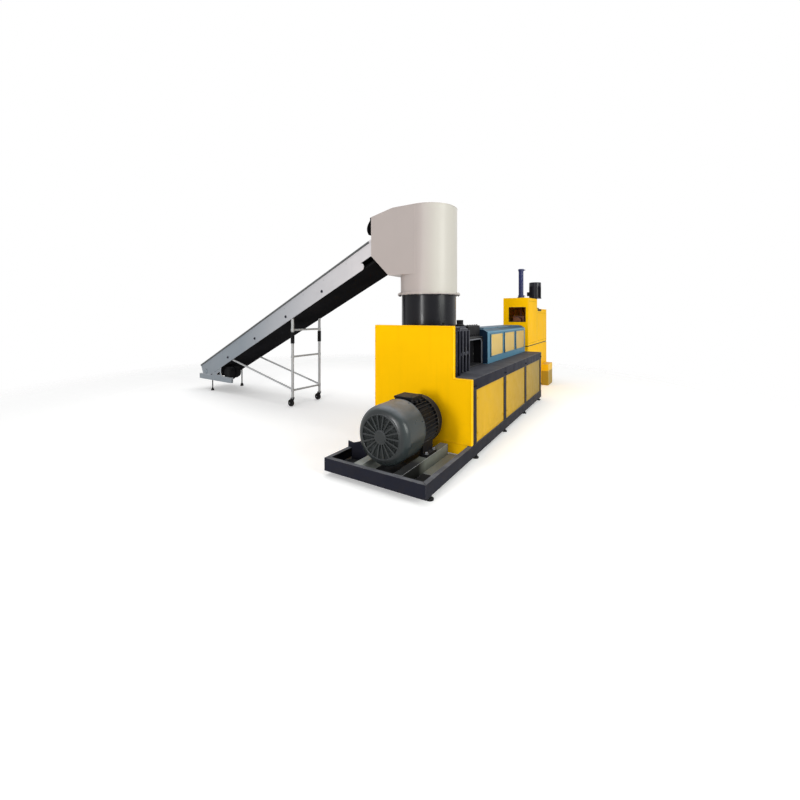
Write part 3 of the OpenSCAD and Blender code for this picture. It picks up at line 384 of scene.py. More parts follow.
# Width of the rounded edge where it isn't the usual one
EDGE_WIDTH = {
    "motor_terminal_box": 0.008, "gearbox": 0.007, "motor_end_shield": 0.006, "screen_changer": 0.006,
    "feed_section": 0.006, "barrel_cover": 0.006, "belt_guard": 0.006, "belt_housing": 0.006,
    "drive_cabinet": 0.005, "compactor_base": 0.005, "rear_cabinet": 0.005, "bed_top": 0.004,
    "pelletizer_base": 0.004, "near_wheel": 0.004, "far_wheel": 0.004, "pellet_box": 0.004,
    "pelletizer_cabinet": 0.0035, "motor_fan_cowl": 0.0015,
}
USUAL_EDGE = 0.0018


def modify(made, kind, **settings):
    """Adds a modifier with its settings."""
    added = made.modifiers.new(kind.lower(), kind)
    for name, value in settings.items():
        setattr(added, name, value)


def dress(name):
    """Gives a node its paint, rounded edges with wear and a painted highlight, and clean shading."""
    node, slot = NODES[name], SLOT_OF[name]
    node.data.materials.clear()
    node.data.materials.append(LOOK.get(name, MATERIAL[slot]))
    node.data.materials.append(EDGE[slot])
    modify(node, "WELD", merge_threshold=1e-5)
    modify(node, "DECIMATE", decimate_type="DISSOLVE", angle_limit=radians(0.4))
    modify(node, "BEVEL", width=EDGE_WIDTH.get(name, USUAL_EDGE), segments=2, limit_method="ANGLE",
           angle_limit=radians(42), material=1)
    modify(node, "NODES", node_group=SMOOTH)
    modify(node, "WEIGHTED_NORMAL", keep_sharp=True)


for node_name in NODES:
    dress(node_name)


# Mesh helpers

def along(point, direction, spin=0.0):
    """Placement at a point with z along a direction."""
    turn = Vector(direction).to_track_quat("Z", "Y").to_matrix().to_4x4()
    return shift(point) @ turn @ Matrix.Rotation(spin, 4, "Z")


def meshes(count):
    """Empty meshes to fill."""
    return [bmesh.new() for _ in range(count)]


def neighbours(rings, closed):
    """Each ring with the next one, and the last with the first where they close."""
    return zip(rings, rings[1:] + rings[:1] if closed else rings[1:])


def lathe(bm, place, profile, segments, closed=False):
    """Turns a profile of (radius, height) points round z of a placement."""
    rings = []
    for radius, height in profile:
        count = segments if radius > 1e-6 else 1
        ring = circle(Z * height, radius, X, Y, segments)[:count]
        rings.append([bm.verts.new(place @ point) for point, _ in ring])
    for a, b in neighbours(rings, closed):
        for k in range(segments):
            n = (k + 1) % segments
            loop = [a[k % len(a)], a[n % len(a)], b[n % len(b)], b[k % len(b)]]
            corners = list(dict.fromkeys(loop))
            if len(corners) > 2:
                bm.faces.new(corners)


def slab(bm, low, high, edge, place=None):
    """Box between two corners with rounded edges."""
    low, high = Vector(low), Vector(high)
    fit = shift((low + high) / 2) @ Matrix.Diagonal((*(high - low), 1))
    made = bmesh.ops.create_cube(bm, size=1, matrix=(place or Matrix()) @ fit)
    edges = {e for v in made["verts"] for e in v.link_edges}
    bmesh.ops.bevel(bm, geom=list(edges), offset=edge, segments=2, affect="EDGES", profile=0.6)


def skin(bm, rings, closed=False):
    """Faces between rings of points, in a closed loop or with a face on each end."""
    for a, b in neighbours(rings, closed):
        for j in range(len(a)):
            n = (j + 1) % len(a)
            bm.faces.new((a[j], a[n], b[n], b[j]))
    if not closed:
        bm.faces.new(rings[0])
        bm.faces.new(rings[-1])


def tube(bm, points, radius, segments, closed=False):
    """Round bar along a line of points."""
    points = [Vector(p) for p in points]
    count = len(points)
    rings = []
    side = None
    for k, point in enumerate(points):
        before = points[k - 1] if k or closed else point
        after = points[(k + 1) % count] if k < count - 1 or closed else point
        a, b = point - before, after - point
        ahead = (a.normalized() + b.normalized()).normalized()
        if side is None:
            side = ahead.orthogonal().normalized()
        side = (side - ahead * side.dot(ahead)).normalized()
        other = ahead.cross(side)
        stretch = 1.0
        if a.length > 1e-9 and b.length > 1e-9:
            stretch = 1 / max(0.4, cos(a.angle(b) / 2))
        bend = b.normalized() - a.normalized()
        bend = bend.normalized() if bend.length > 1e-6 else None
        ring = []
        for _, out in circle(point, radius, side, other, segments):
            offset = out * radius
            if bend:
                offset += bend * offset.dot(bend) * (stretch - 1)
            ring.append(bm.verts.new(point + offset))
        rings.append(ring)
    skin(bm, rings, closed)


def arc(centre, radius, start, end, a_axis, b_axis, steps=8):
    """Points on an arc in the plane of two axes, angles in degrees."""
    angles = [radians(start + (end - start) * k / steps) for k in range(steps + 1)]
    turned = [a_axis * radius * cos(a) + b_axis * radius * sin(a) for a in angles]
    return [Vector(centre) + out for out in turned]


def bolt(bm, point, direction, across):
    """Hexagon head on a washer, standing on a surface."""
    spin = 0.3
    washer = [(0.98, 0), (0.98, 0.10), (0.92, 0.15), (0, 0.15)]
    head = [(0.577, 0.14), (0.577, 0.66), (0.50, 0.76), (0, 0.78)]
    place = along(point, direction, spin)
    for profile, segments in ((washer, 18), (head, 6)):
        lathe(bm, place, [(r * across, h * across) for r, h in profile], segments)


def screw(bm, point, direction, radius):
    """Round button head with a socket."""
    profile = [(1, 0), (1, 0.15), (0.86, 0.45), (0.6, 0.6), (0.42, 0.62), (0.38, 0.25), (0, 0.25)]
    lathe(bm, along(point, direction), [(r * radius, h * radius) for r, h in profile], 16)


def weld_bead(bm, points, radius):
    """Ripple of a weld along a line of points."""
    length, ripple = 0.03, 0.0006
    line = []
    for a, b in zip(points, points[1:]):
        a, b = Vector(a), Vector(b)
        steps = max(2, int((b - a).length / length))
        line += [a.lerp(b, k / steps) for k in range(steps)]
    line.append(Vector(points[-1]))
    tube(bm, [p + Z * (ripple if k % 2 else -ripple) for k, p in enumerate(line)], radius, 6)


def spread(first, last, count):
    """Evenly spaced numbers from first to last."""
    return [first + (last - first) * k / (count - 1) for k in range(count)]


def circle(centre, radius, axis_a, axis_b, count, start=0.0):
    """Points and outward directions round a circle."""
    made = []
    for k in range(count):
        angle = start + 2 * pi * k / count
        out = axis_a * cos(angle) + axis_b * sin(angle)
        made.append((Vector(centre) + out * radius, out))
    return made


def hoop(bm, centre, radius, axis_a, axis_b, count, wire, segments=8):
    """Round bar bent to a circle."""
    ring = circle(centre, radius, axis_a, axis_b, count)
    tube(bm, [point for point, _ in ring], wire, segments, closed=True)


def bolt_circle(bm, centre, radius, axis_a, axis_b, count, direction, across, start=0.0):
    """Bolts round a circle that all face one way."""
    for point, _ in circle(centre, radius, axis_a, axis_b, count, start):
        bolt(bm, point, direction, across)


def add(name, data):
    """New object in the scene."""
    made = bpy.data.objects.new(name, data)
    bpy.context.scene.collection.objects.link(made)
    return made


def piece(name, bm, slot, body="machine"):
    """Finishes a mesh as one object that rides on a body."""
    bmesh.ops.recalc_face_normals(bm, faces=bm.faces)
    for face in bm.faces:
        face.smooth = True
    for edge in bm.edges:
        edge.smooth = len(edge.link_faces) == 2 and edge.calc_face_angle(0) < SHARP
    mesh = bpy.data.meshes.new(name)
    bm.to_mesh(mesh)
    bm.free()
    mesh.materials.append(LOOK.get(name, MATERIAL[slot]))
    made = add(name, mesh)
    modify(made, "WEIGHTED_NORMAL", keep_sharp=True)
    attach(made, body)
    return made


def rim(bm, corners, radius):
    """Folded edge round a closed outline."""
    tube(bm, corners, radius, 8, closed=True)


def rectangle(x0, x1, z0, z1, y):
    """Corners of an upright rectangle facing along y."""
    return [Vector((x, y, z)) for x, z in ((x0, z0), (x1, z0), (x1, z1), (x0, z1))]


def side_rectangle(y0, y1, z0, z1, x):
    """Corners of an upright rectangle facing along x."""
    return [Vector((x, p.x, p.z)) for p in rectangle(y0, y1, z0, z1, x)]


def on_face(point, across, out):
    """Placement on an upright face: x across it, y out of it, z up."""
    return shift(point) @ Matrix((across, out, Z)).transposed().to_4x4()


def hinge(bm, point, out):
    """Upright hinge barrel with its leaf on a face."""
    radius, height, leaf_w, leaf_t = 0.006, 0.070, 0.018, 0.002
    barrel = [(0, 0), (radius, 0.001), (radius, height * 0.33), (radius * 0.9, height * 0.34),
              (radius, height * 0.35), (radius, height - 0.001), (0, height)]
    lathe(bm, shift(point - Z * height / 2 + out * radius), barrel, 14)
    leaf = on_face(point, out.cross(Z), out)
    slab(bm, (-leaf_w, 0, -height / 2), (leaf_w, leaf_t, height / 2), 0.0008, leaf)


def louvre(bm, middle, out, width, rows):
    """Stack of pressed ventilation slots on an upright face."""
    gap, half, lip = 0.022, 0.007, 0.009
    place = on_face(middle, out.cross(Z), out)
    for k in range(rows):
        z = (k - (rows - 1) / 2) * gap
        profile = [(0.0, z - half), (lip, z - half), (0.0075, z - 0.001), (0.0, z + half)]
        ends = (-width / 2, width / 2)
        skin(bm, [[bm.verts.new(place @ Vector((x, y, h))) for y, h in profile] for x in ends])


# Skid, feet and deck

def post_starts():
    """Start along y of each post of the bed."""
    lo, hi = BOX["bed_posts"]
    return spread(lo.y, hi.y - POST_W, 4)


def skid():
    """Welds at the skid's corners and posts, and the nuts and pads of its feet."""
    x0, x1, y0, y1, top = SKID_LO.x, SKID_HI.x, SKID_LO.y, SKID_HI.y, SKID_HI.z
    mitre, inner, outer = 0.12, x1 - 0.064, x1 - 0.006
    bm = bmesh.new()
    for x, dx in ((x0, RAIL_W), (x1, -RAIL_W)):
        for y, dy in ((y0, RAIL_W), (y1, -RAIL_W)):
            weld_bead(bm, [(x + dx * mitre, y + dy * mitre, top), (x + dx, y + dy, top)], 0.003)
    for y in post_starts():
        weld_bead(bm, [(inner, y, top), (outer, y, top), (outer, y + POST_W, top)], 0.004)
    piece("skid_welds", bm, "frame_paint")
    nut = [(0.012, 0), (0.019, 0), (0.0205, 0.002), (0.0205, 0.010), (0.019, 0.012), (0.012, 0.012)]
    pad = [(0.0365, 0.0005), (0.0368, 0.006), (0.034, 0.0145), (0.022, 0.0155), (0.012, 0.0155)]
    pad_h, nut_h, nut_spin, end, feet = 0.0155, 0.0125, 0.4, 0.12, 5
    bm = bmesh.new()
    for x in (x0 + RAIL_W / 2, x1 - RAIL_W / 2):
        for y in spread(y0 + end, y1 - end, feet):
            for z in (pad_h, FOOT_H - nut_h):
                lathe(bm, along((x, y, z), Z, nut_spin), nut, 6)
            lathe(bm, along((x, y, 0.0), Z), pad, 28)
    piece("foot_nuts", bm, "black_paint")


# Main motor

def on_motor(y):
    """Point on the motor's axis."""
    return Vector((SCREW_X, y, MOTOR_Z))


def motor():
    """Bolts of the motor's feet and of its end shield."""
    lo, hi = BOX["motor_housing"]
    foot_x, foot_y, foot_t = 0.25, 0.085, 0.030
    shield_t, bolt_in, first = 0.0893, 0.050, pi / 8
    bm = bmesh.new()
    for x in (-foot_x, foot_x):
        for y in (lo.y + foot_y, hi.y - foot_y):
            bolt(bm, (SCREW_X + x, y, SKID_HI.z + foot_t), Z, 0.026)
    shield = on_motor(BOX["motor_end_shield"][0].y + shield_t)
    bolt_circle(bm, shield, COWL_R - bolt_in, X, Z, 8, Y, 0.022, first)
    piece("motor_bolts", bm, "bare_steel")


def cowl():
    """Screws, hub and rims of the fan cowl, and the guide ring and wire guard in it."""
    front, back, wall = COWL_LO.y, COWL_HI.y, COWL_R - 0.001
    hub = [(0.060, -0.001), (0.058, 0.003), (0.048, 0.005), (0.020, 0.006), (0, 0.006)]
    slot_r, first = 0.212, pi / 8
    bm = bmesh.new()
    for point, out in circle(on_motor(back - 0.030), wall, X, Z, 8, first):
        screw(bm, point, out, 0.010)
    hoop(bm, on_motor(back - 0.010), wall, X, Z, 72, 0.004)
    lathe(bm, along(on_motor(front), -Y), hub, 48)
    hoop(bm, on_motor(front + 0.001), slot_r, X, Z, 72, 0.003)
    piece("motor_trim", bm, "motor_paint")
    guide = [(0.232, 0), (0.285, 0), (0.285, 0.004), (0.232, 0.004)]
    bm = bmesh.new()
    lathe(bm, along(on_motor(back - 0.012), Y), guide, 64, closed=True)
    piece("fan_guide", bm, "black_paint")
    wire, rings, inner, outer = 0.0016, 15, 0.075, 0.203
    spokes, spoke_in, spoke_len, spoke_wire = 6, 0.060, 0.150, wire * 1.3
    bm = bmesh.new()
    for radius in spread(inner, outer, rings):
        hoop(bm, on_motor(front + 0.016), radius, X, Z, 64, wire)
    for point, out in circle(on_motor(front + 0.019), spoke_in, X, Z, spokes):
        tube(bm, [point, point + out * spoke_len], spoke_wire, 8)
    piece("fan_wires", bm, "motor_paint")


def terminal_box():
    """Lid with its screws, and the blind glands, of the terminal box."""
    lo, hi = BOX["motor_terminal_box"]
    over, lid_t, lip, inset = 0.006, 0.008, 0.014, 0.020
    gland = [(0.024, 0), (0.024, 0.012), (0.020, 0.013), (0.020, 0.026), (0.015, 0.032), (0, 0.032)]
    gland_in, gland_down = 0.06, 0.05
    bm = bmesh.new()
    slab(bm, (lo.x - over, lo.y - over, hi.z - lip), hi + Vector((over, over, lid_t)), 0.004)
    for x in (lo.x + inset, hi.x - inset):
        for y in (lo.y + inset, hi.y - inset):
            screw(bm, (x, y, hi.z + lid_t), Z, 0.008)
    for y in (lo.y + gland_in, hi.y - gland_in):
        lathe(bm, along((hi.x - 0.001, y, hi.z - gland_down), X), gland, 6)
    piece("terminal_lid", bm, "black_paint")


# Belt guard

def guard():
    """Folded rim, return flange and screws of the belt guard."""
    lo, hi = BOX["belt_guard"]
    # The upper part ends just past the belt housing
    up = BOX["belt_housing"][1].x + 0.007
    low, y = SKID_HI.z + 0.005, lo.y
    fold, inset, head = 0.006, 0.024, 0.007
    left, step, right = lo.x + fold, up - fold, hi.x - fold
    foot, ledge, top = low + fold, BED_Z - fold, hi.z - fold
    outline = [(left, foot), (right, foot), (right, ledge), (step, ledge), (step, top), (left, top)]
    bm = bmesh.new()
    rim(bm, [(x, y, z) for x, z in outline], 0.0045)
    # Return flange along the top edge
    slab(bm, (lo.x + 0.002, y + 0.004, hi.z - 0.001), (up - 0.002, y + 0.046, hi.z + 0.003), 0.001)
    for x in spread(lo.x + inset, up - inset, 5):
        screw(bm, (x, y, hi.z - inset), -Y, head)
    columns = [(up - inset, spread(BED_Z + 0.1, hi.z - 0.16, 3)),
               (hi.x - inset, spread(low + inset, BED_Z - inset, 4)),
               (lo.x + inset, spread(low + inset, hi.z - 0.2, 6))]
    for x, heights in columns:
        for z in heights:
            screw(bm, (x, y, z), -Y, head)
    piece("guard_lip", bm, "yellow_paint")


# Bed and its side panels

def latch(bm, point, out):
    """Quarter turn latch with a slotted plug."""
    place = along(point, out)
    profile = [(0.014, 0), (0.014, 0.003), (0.012, 0.006), (0.009, 0.0065), (0.008, 0.003), (0, 0.003)]
    lathe(bm, place, profile, 22)
    slab(bm, (-0.006, -0.0014, 0.002), (0.006, 0.0014, 0.0052), 0.0005, place)


def panel_spans(name, gap):
    """Start and end along y of each of a node's three panels."""
    lo, hi = BOX[name]
    step = (hi.y - lo.y + gap) / 3
    return [(lo.y + k * step, lo.y + (k + 1) * step - gap) for k in range(3)]


def panels():
    """Pressed rims and latches of the bed's panels, and the bolts over its posts."""
    lo, hi = BOX["right_panels"]
    left_lo, _ = BOX["left_panels"]
    spans = panel_spans("right_panels", POST_W)
    rows = [(span, hi.x, X) for span in spans]
    rows += [((left_lo.y, spans[1][1]), left_lo.x, -X), (spans[2], left_lo.x, -X)]
    press, in_y, in_z = 0.020, 0.05, 0.10
    rims, latches = meshes(2)
    for (y0, y1), x, out in rows:
        rim(rims, side_rectangle(y0 + press, y1 - press, lo.z + press, hi.z - press, x), 0.0035)
        for point in side_rectangle(y0 + in_y, y1 - in_y, lo.z + in_z, hi.z - in_z, x):
            latch(latches, point, out)
    piece("panel_rims", rims, "yellow_panel")
    piece("panel_latches", latches, "yellow_panel")
    bed_lo, bed_hi = BOX["bed_top"]
    inset, up = 0.03, 0.05
    bm = bmesh.new()
    for start in post_starts():
        for y in (start + inset, start + POST_W - inset):
            bolt(bm, (bed_hi.x, min(y, bed_hi.y - inset), bed_lo.z + up), X, 0.014)
    piece("bed_bolts", bm, "dark_paint")


# Gearbox and feed section

def gearbox():
    """Bolts of the gearbox, through its split flange and round its top."""
    lo, hi = BOX["gearbox"]
    length, reach, flange, split_t = 0.370, 0.240, 0.011, 0.016
    split_in, top_in, top_left, top_right = 0.0817, 0.036, 0.15, 0.205
    y0, y1 = lo.y, lo.y + length
    split = BED_Z + SCREW_UP
    bm = bmesh.new()
    for y in spread(y0 + split_in, y1 - split_in, 3):
        for up in (Z, -Z):
            bolt(bm, Vector((SCREW_X + reach + flange, y, split)) + up * split_t, up, 0.020)
    for x in spread(SCREW_X - top_left, SCREW_X + top_right, 4):
        for y in (y0 + top_in, y1 - top_in):
            bolt(bm, (x, y, hi.z), Z, 0.018)
    piece("gearbox_bolts", bm, "cast_iron")


def feed_section():
    """Rim of the arch on the side of the feed section, and the bolts round it."""
    _, hi = BOX["feed_section"]
    length, corner, wire = 0.65, 0.07, 0.011
    x = SCREW_X + 0.175
    y0, y1 = hi.y - length + 0.07, hi.y - 0.06
    axis, foot = BED_Z + SCREW_UP, BED_Z + 0.016
    top = axis + 0.140
    line = [Vector((x, y0, foot))]
    line += arc((x, y0 + corner, top - corner), corner, 180, 90, Y, Z)
    line += arc((x, y1 - corner, top - corner), corner, 90, 0, Y, Z)
    line.append(Vector((x, y1, foot)))
    bm = bmesh.new()
    tube(bm, line, wire, 12)
    piece("feed_arch_rim", bm, "cast_iron")
    flank, flank_z, roof_x, arch_bolt, roof_bolt = 0.150, 0.20, 0.120, 0.020, 0.018
    bm = bmesh.new()
    for y in (y0 - 0.036, y1 + 0.032):
        for z in spread(BED_Z + 0.07, top - 0.03, 4):
            bolt(bm, (x, y, z), X, arch_bolt)
    for y in spread(y0 + 0.13, y1 - 0.05, 5):
        bolt(bm, (SCREW_X + flank, y, axis + flank_z), X, roof_bolt)
        bolt(bm, (SCREW_X + roof_x, y, hi.z), Z, roof_bolt)
    piece("feed_bolts", bm, "black_paint")


# Barrel cover

def cover():
    """Frames and latches of the cover's panels, and the lids along its top."""
    lo, hi = BOX["cover_panels"]
    sunk, in_y, in_z = 0.002, 0.030, 0.034
    frames, knobs = meshes(2)
    for y0, y1 in panel_spans("cover_panels", PANEL_GAP):
        for x, out in ((hi.x, X), (lo.x, -X)):
            rim(frames, side_rectangle(y0, y1, lo.z, hi.z, x - out.x * sunk), 0.007)
            for point in side_rectangle(y0 + in_y, y1 - in_y, lo.z + in_z, hi.z - in_z, x):
                latch(knobs, point, out)
    half, end, gap, lid_t = 0.16, 0.06, 0.012, 0.010
    stops = spread(COVER_LO.y + end, COVER_HI.y - end, 4)
    for y0, y1 in zip(stops, stops[1:]):
        low = (SCREW_X - half, y0 + gap, COVER_HI.z - sunk)
        slab(frames, low, (SCREW_X + half, y1 - gap, COVER_HI.z + lid_t), 0.004)
    piece("cover_frames", frames, "blue_paint")
    piece("cover_latches", knobs, "pale_panel")


def die():
    """Flange bolts and heater band of the die adaptor."""
    lo, hi = BOX["die_adaptor"]
    z = (lo.z + hi.z) / 2
    near_t, near_r, far_t, far_r, head, turned = 0.040, 0.118, 0.045, 0.126, 0.022, 0.2
    band_y, inner, outer, clamp = 0.062, 0.0905, 0.099, 0.101
    bolts, bands = meshes(2)
    bolt_circle(bolts, (SCREW_X, lo.y + near_t, z), near_r, X, Z, 10, Y, head)
    bolt_circle(bolts, (SCREW_X, hi.y - far_t, z), far_r, X, Z, 10, -Y, head, turned)
    band = [(inner, 0), (outer, 0.001), (outer, 0.070), (clamp, 0.072), (clamp, 0.080),
            (outer, 0.082), (outer, 0.148), (inner, 0.150)]
    lathe(bands, along((SCREW_X, lo.y + band_y, z), Y), band, 48, closed=True)
    piece("die_bolts", bolts, "bare_steel")
    piece("die_heaters", bands, "bare_steel")


# Drum, hood and curtain

def drum():
    """Welds round the drum's foot and up its back, and the bolts and nuts of its flange."""
    welds, above, below = meshes(3)
    base_z = BOX["drum_floor"][1].z
    centre, back = Vector((DRUM_X, DRUM_Y, 0)), radians(137)
    hoop(welds, centre + Z * (base_z + 0.004), DRUM_R + 0.001, X, Y, 96, 0.006)
    seam = centre + (X * cos(back) + Y * sin(back)) * DRUM_R
    tube(welds, [seam + Z * (base_z + 0.01), seam + Z * (FLANGE_Z - 0.02)], 0.003, 6)
    piece("drum_welds", welds, "drum_paint")
    middle, flange_t, count, first = (DRUM_R + FLANGE_R + 0.015) / 2, 0.014, 24, 0.05
    for bm, up in ((above, Z), (below, -Z)):
        bolt_circle(bm, centre + Z * FLANGE_Z + up * flange_t, middle, X, Y, count, up, 0.015, first)
    piece("flange_bolts", above, "hood_paint")
    piece("flange_nuts", below, "drum_paint")


def hood():
    """Folded edges of the hood's mouth, eaves and roof, and the welds round its foot and collar."""
    wall_lo, wall_hi = BOX["hood_side_walls"]
    roof, eaves = BOX["hood_roof"][1].z, wall_hi.z + 0.001
    lip, bend = DRUM_X - HOOD_R - 0.025, DRUM_X - 0.362
    low, high = HOOD_Z + 0.294, wall_hi.z - 0.080
    edge, fold = wall_lo.x + 0.004, 0.004
    bm = bmesh.new()
    for y in (DRUM_Y - HOOD_R + 0.002, DRUM_Y + HOOD_R - 0.002):
        tube(bm, [(lip, y, HOOD_Z), (edge, y, low), (edge, y, high)], fold, 8)
        tube(bm, [(edge, y, high + 0.001), (bend, y, eaves), (DRUM_X, y, eaves)], fold, 8)
    tube(bm, arc((DRUM_X, DRUM_Y, roof - 0.005), HOOD_R - 0.001, -90, 90, X, Y, 48), fold, 8)
    tube(bm, arc((DRUM_X, DRUM_Y, HOOD_Z), HOOD_R - 0.001, -90, 90, X, Y, 48), 0.0025, 6)
    collar = BOX["hood_collar"][0].z + 0.016
    hoop(bm, (DRUM_X, DRUM_Y, collar), HOOD_R + 0.001, X, Y, 96, 0.005)
    piece("hood_seams", bm, "hood_paint")


def curtain():
    """Rubber strips that bow outward under a clamping bar at the mouth."""
    lo, hi = BOX["inlet_curtain"]
    bar_t, bar_h, thick, count, gap = 0.020, 0.036, 0.006, 6, 0.002
    bow, swing, slack, cupped = 0.065, radians(150), 0.05, 0.004
    rows, columns = 16, 3
    bm = bmesh.new()
    slab(bm, (hi.x - bar_t, lo.y, hi.z - bar_h), (hi.x, hi.y, hi.z), 0.003)
    top, fall = hi.z - bar_h + thick, lo.z - hi.z + bar_h - thick
    pitch = (hi.y - lo.y) / count
    outline = [(j / columns, 0.0) for j in range(columns + 1)]
    outline += [(u, thick) for u, _ in reversed(outline)]
    for k in range(count):
        rings = []
        for t in spread(0, 1, rows + 1):
            out = bow * sin(swing * t) * (1 - slack * (k % 3) * t)
            ring = []
            for u, depth in outline:
                x = hi.x - 2 * thick - out + depth + cupped * t * (0.5 - abs(u - 0.5))
                y = lo.y + k * pitch + gap + (pitch - 2 * gap) * u
                ring.append(bm.verts.new((x, y, top + fall * t)))
            rings.append(ring)
        skin(bm, rings)
    strips = piece("curtain_strips", bm, "black_rubber")
    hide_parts("inlet_curtain")
    end = 0.05
    bm = bmesh.new()
    for y in spread(lo.y + end, hi.y - end, 8):
        bolt(bm, (hi.x - bar_t, y, hi.z - bar_h / 2), -X, 0.012)
    piece("curtain_bolts", bm, "bare_steel")


# Conveyor

def on_slope(s, v, n):
    """Point of the conveyor's slope frame in the shared frame."""
    return SLOPE @ Vector((s, v, n))


def conveyor():
    """Bolts, folded edge strips and tail bearings on both sides of the conveyor."""
    bolts, strips, bearings = meshes(3)
    across = SLOPE.to_3x3() @ Y
    bolt_n, screw_n, strip_in, strip_out, strip_end = 0.098, 0.245, 0.007, 0.0135, -0.76
    roll_s, roll_n, bolt_s, tilt = -TAIL_S + 0.13, 0.128, 0.046, 0.3
    bearing = [(0.056, 0), (0.056, 0.007), (0.046, 0.011), (0.042, 0.022), (0.034, 0.026),
               (0.028, 0.022), (0.021, 0.022), (0.020, 0.030), (0, 0.030)]
    bolts_at, screws_at = spread(-4.926, -1.955, 4), spread(-5.60, -1.30, 9)
    for side in (-1, 1):
        out, v = across * side, side * CONVEYOR_HALF
        for s in bolts_at:
            bolt(bolts, on_slope(s, v, bolt_n), out, 0.026)
        for s in screws_at:
            screw(strips, on_slope(s, v, screw_n), out, 0.005)
        a, b = sorted((v - side * strip_in, v + side * strip_out))
        low = (-TAIL_S + 0.001, a, PANEL_H - TRIM_H - 0.002)
        slab(strips, low, (strip_end, b, PANEL_H + 0.001), 0.003, SLOPE)
        lathe(bearings, along(on_slope(roll_s, v, roll_n), out), bearing, 32)
        for ds in (-bolt_s, bolt_s):
            bolt(bearings, on_slope(roll_s + ds, v + side * 0.006, roll_n + ds * tilt), out, 0.012)
    piece("conveyor_bolts", bolts, "cast_iron")
    piece("conveyor_strips", strips, "black_paint")
    piece("tail_bearings", bearings, "grey_sheet")


def drive():
    """Cover rings and cooling fins of the conveyor's drive."""
    lo, hi = BOX["conveyor_motor"]
    axis_up, ring_r, ring_step, rings = 0.188, 0.092, 0.017, 5
    fin_r, fin_y, fin_half, fin_h, fins = 0.121, 0.14, 0.075, 0.010, 26
    centre = Vector(((lo.x + hi.x) / 2, hi.y, BOX["tail_stand"][0].z + axis_up))
    bm = bmesh.new()
    for k in range(rings):
        hoop(bm, centre - Y * 0.001, ring_r - k * ring_step, X, Z, 40, 0.003)
    for point, out in circle(centre - Y * fin_y, fin_r, X, Z, fins):
        slab(bm, (-0.002, -fin_half, 0), (0.002, fin_half, fin_h), 0.001, along(point, out))
    piece("drive_fins", bm, "black_paint")


# Stand and castors

def stand():
    """Clamps on the stand's legs, and the nuts, swivel ring and wheel rings of its castors."""
    leg_r, bar_r, leg_u, trail, axle_z = 0.024, 0.017, 2.56, 0.038, 0.062
    leg_v = CONVEYOR_HALF - leg_r - 0.002
    across = TURN.to_3x3() @ Y
    heights = (0.285, 0.875, BOX["leg_sleeves"][1].z + 0.020 + bar_r)
    clamp_r, clamp_h = leg_r + 0.004, 0.044
    band = [(leg_r, 0), (clamp_r, 0.001), (clamp_r, clamp_h - 0.001), (leg_r, clamp_h)]
    nut = [(0.011, 0), (0.011, 0.007), (0.009, 0.009), (0, 0.009)]
    swivel = [(0.0345, 0), (0.036, 0.002), (0.036, 0.006), (0.0345, 0.0085)]
    hub = [(0.030, 0), (0.030, 0.002), (0.024, 0.004), (0.017, 0.004)]
    nut_y, swivel_z, hub_y, tread_y, tread_r = 0.0275, 0.1505, 0.0105, 0.0175, 0.053
    clamps = bmesh.new()
    for name, side in (("near", -1), ("far", 1)):
        foot = TURN @ Vector((-leg_u, side * leg_v, 0))
        for z in heights:
            lathe(clamps, shift(foot + Z * (z - clamp_h / 2)), band, 32, closed=True)
            bolt(clamps, foot + Z * z + across * side * clamp_r, across * side, 0.011)
        axle = foot + Vector((-trail, 0, axle_z))
        nuts, rings = meshes(2)
        lathe(nuts, shift(foot + Z * swivel_z), swivel, 32, closed=True)
        for out in (-Y, Y):
            lathe(nuts, along(axle + out * nut_y, out, 0.2), nut, 6)
            lathe(rings, along(axle + out * hub_y, out), hub, 36)
            hoop(rings, axle + out * tread_y, tread_r, X, Z, 48, 0.0016, 6)
        piece(name + "_castor_nuts", nuts, "bare_steel", name + "_castor")
        piece(name + "_castor_rings", rings, "black_rubber", name + "_roller")
    piece("leg_clamps", clamps, "tube_paint")


# Cabinets

def door(gaps, fittings, corners, out, fitted=True):
    """Door flush in an upright face: dark gap round it, hinges on one edge, latches on the other."""
    low, edge = corners[0], corners[1] - corners[0]
    width, height = edge.length, corners[2].z - low.z
    edge.normalize()
    place = on_face(low, edge, out)
    t, d, latch_in = 0.005, 0.0004, 0.04
    for x0, x1, z0, z1 in ((0, width, 0, t), (0, width, height - t, height),
                           (0, t, t, height - t), (width - t, width, t, height - t)):
        slab(gaps, (x0, -d, z0), (x1, d, z1), 0.0002, place)
    if fitted:
        for up in (0.16, 0.84):
            hinge(fittings, low + edge * 0.002 + Z * height * up, out)
            latch(fittings, low + edge * (width - latch_in) + Z * height * up, out)


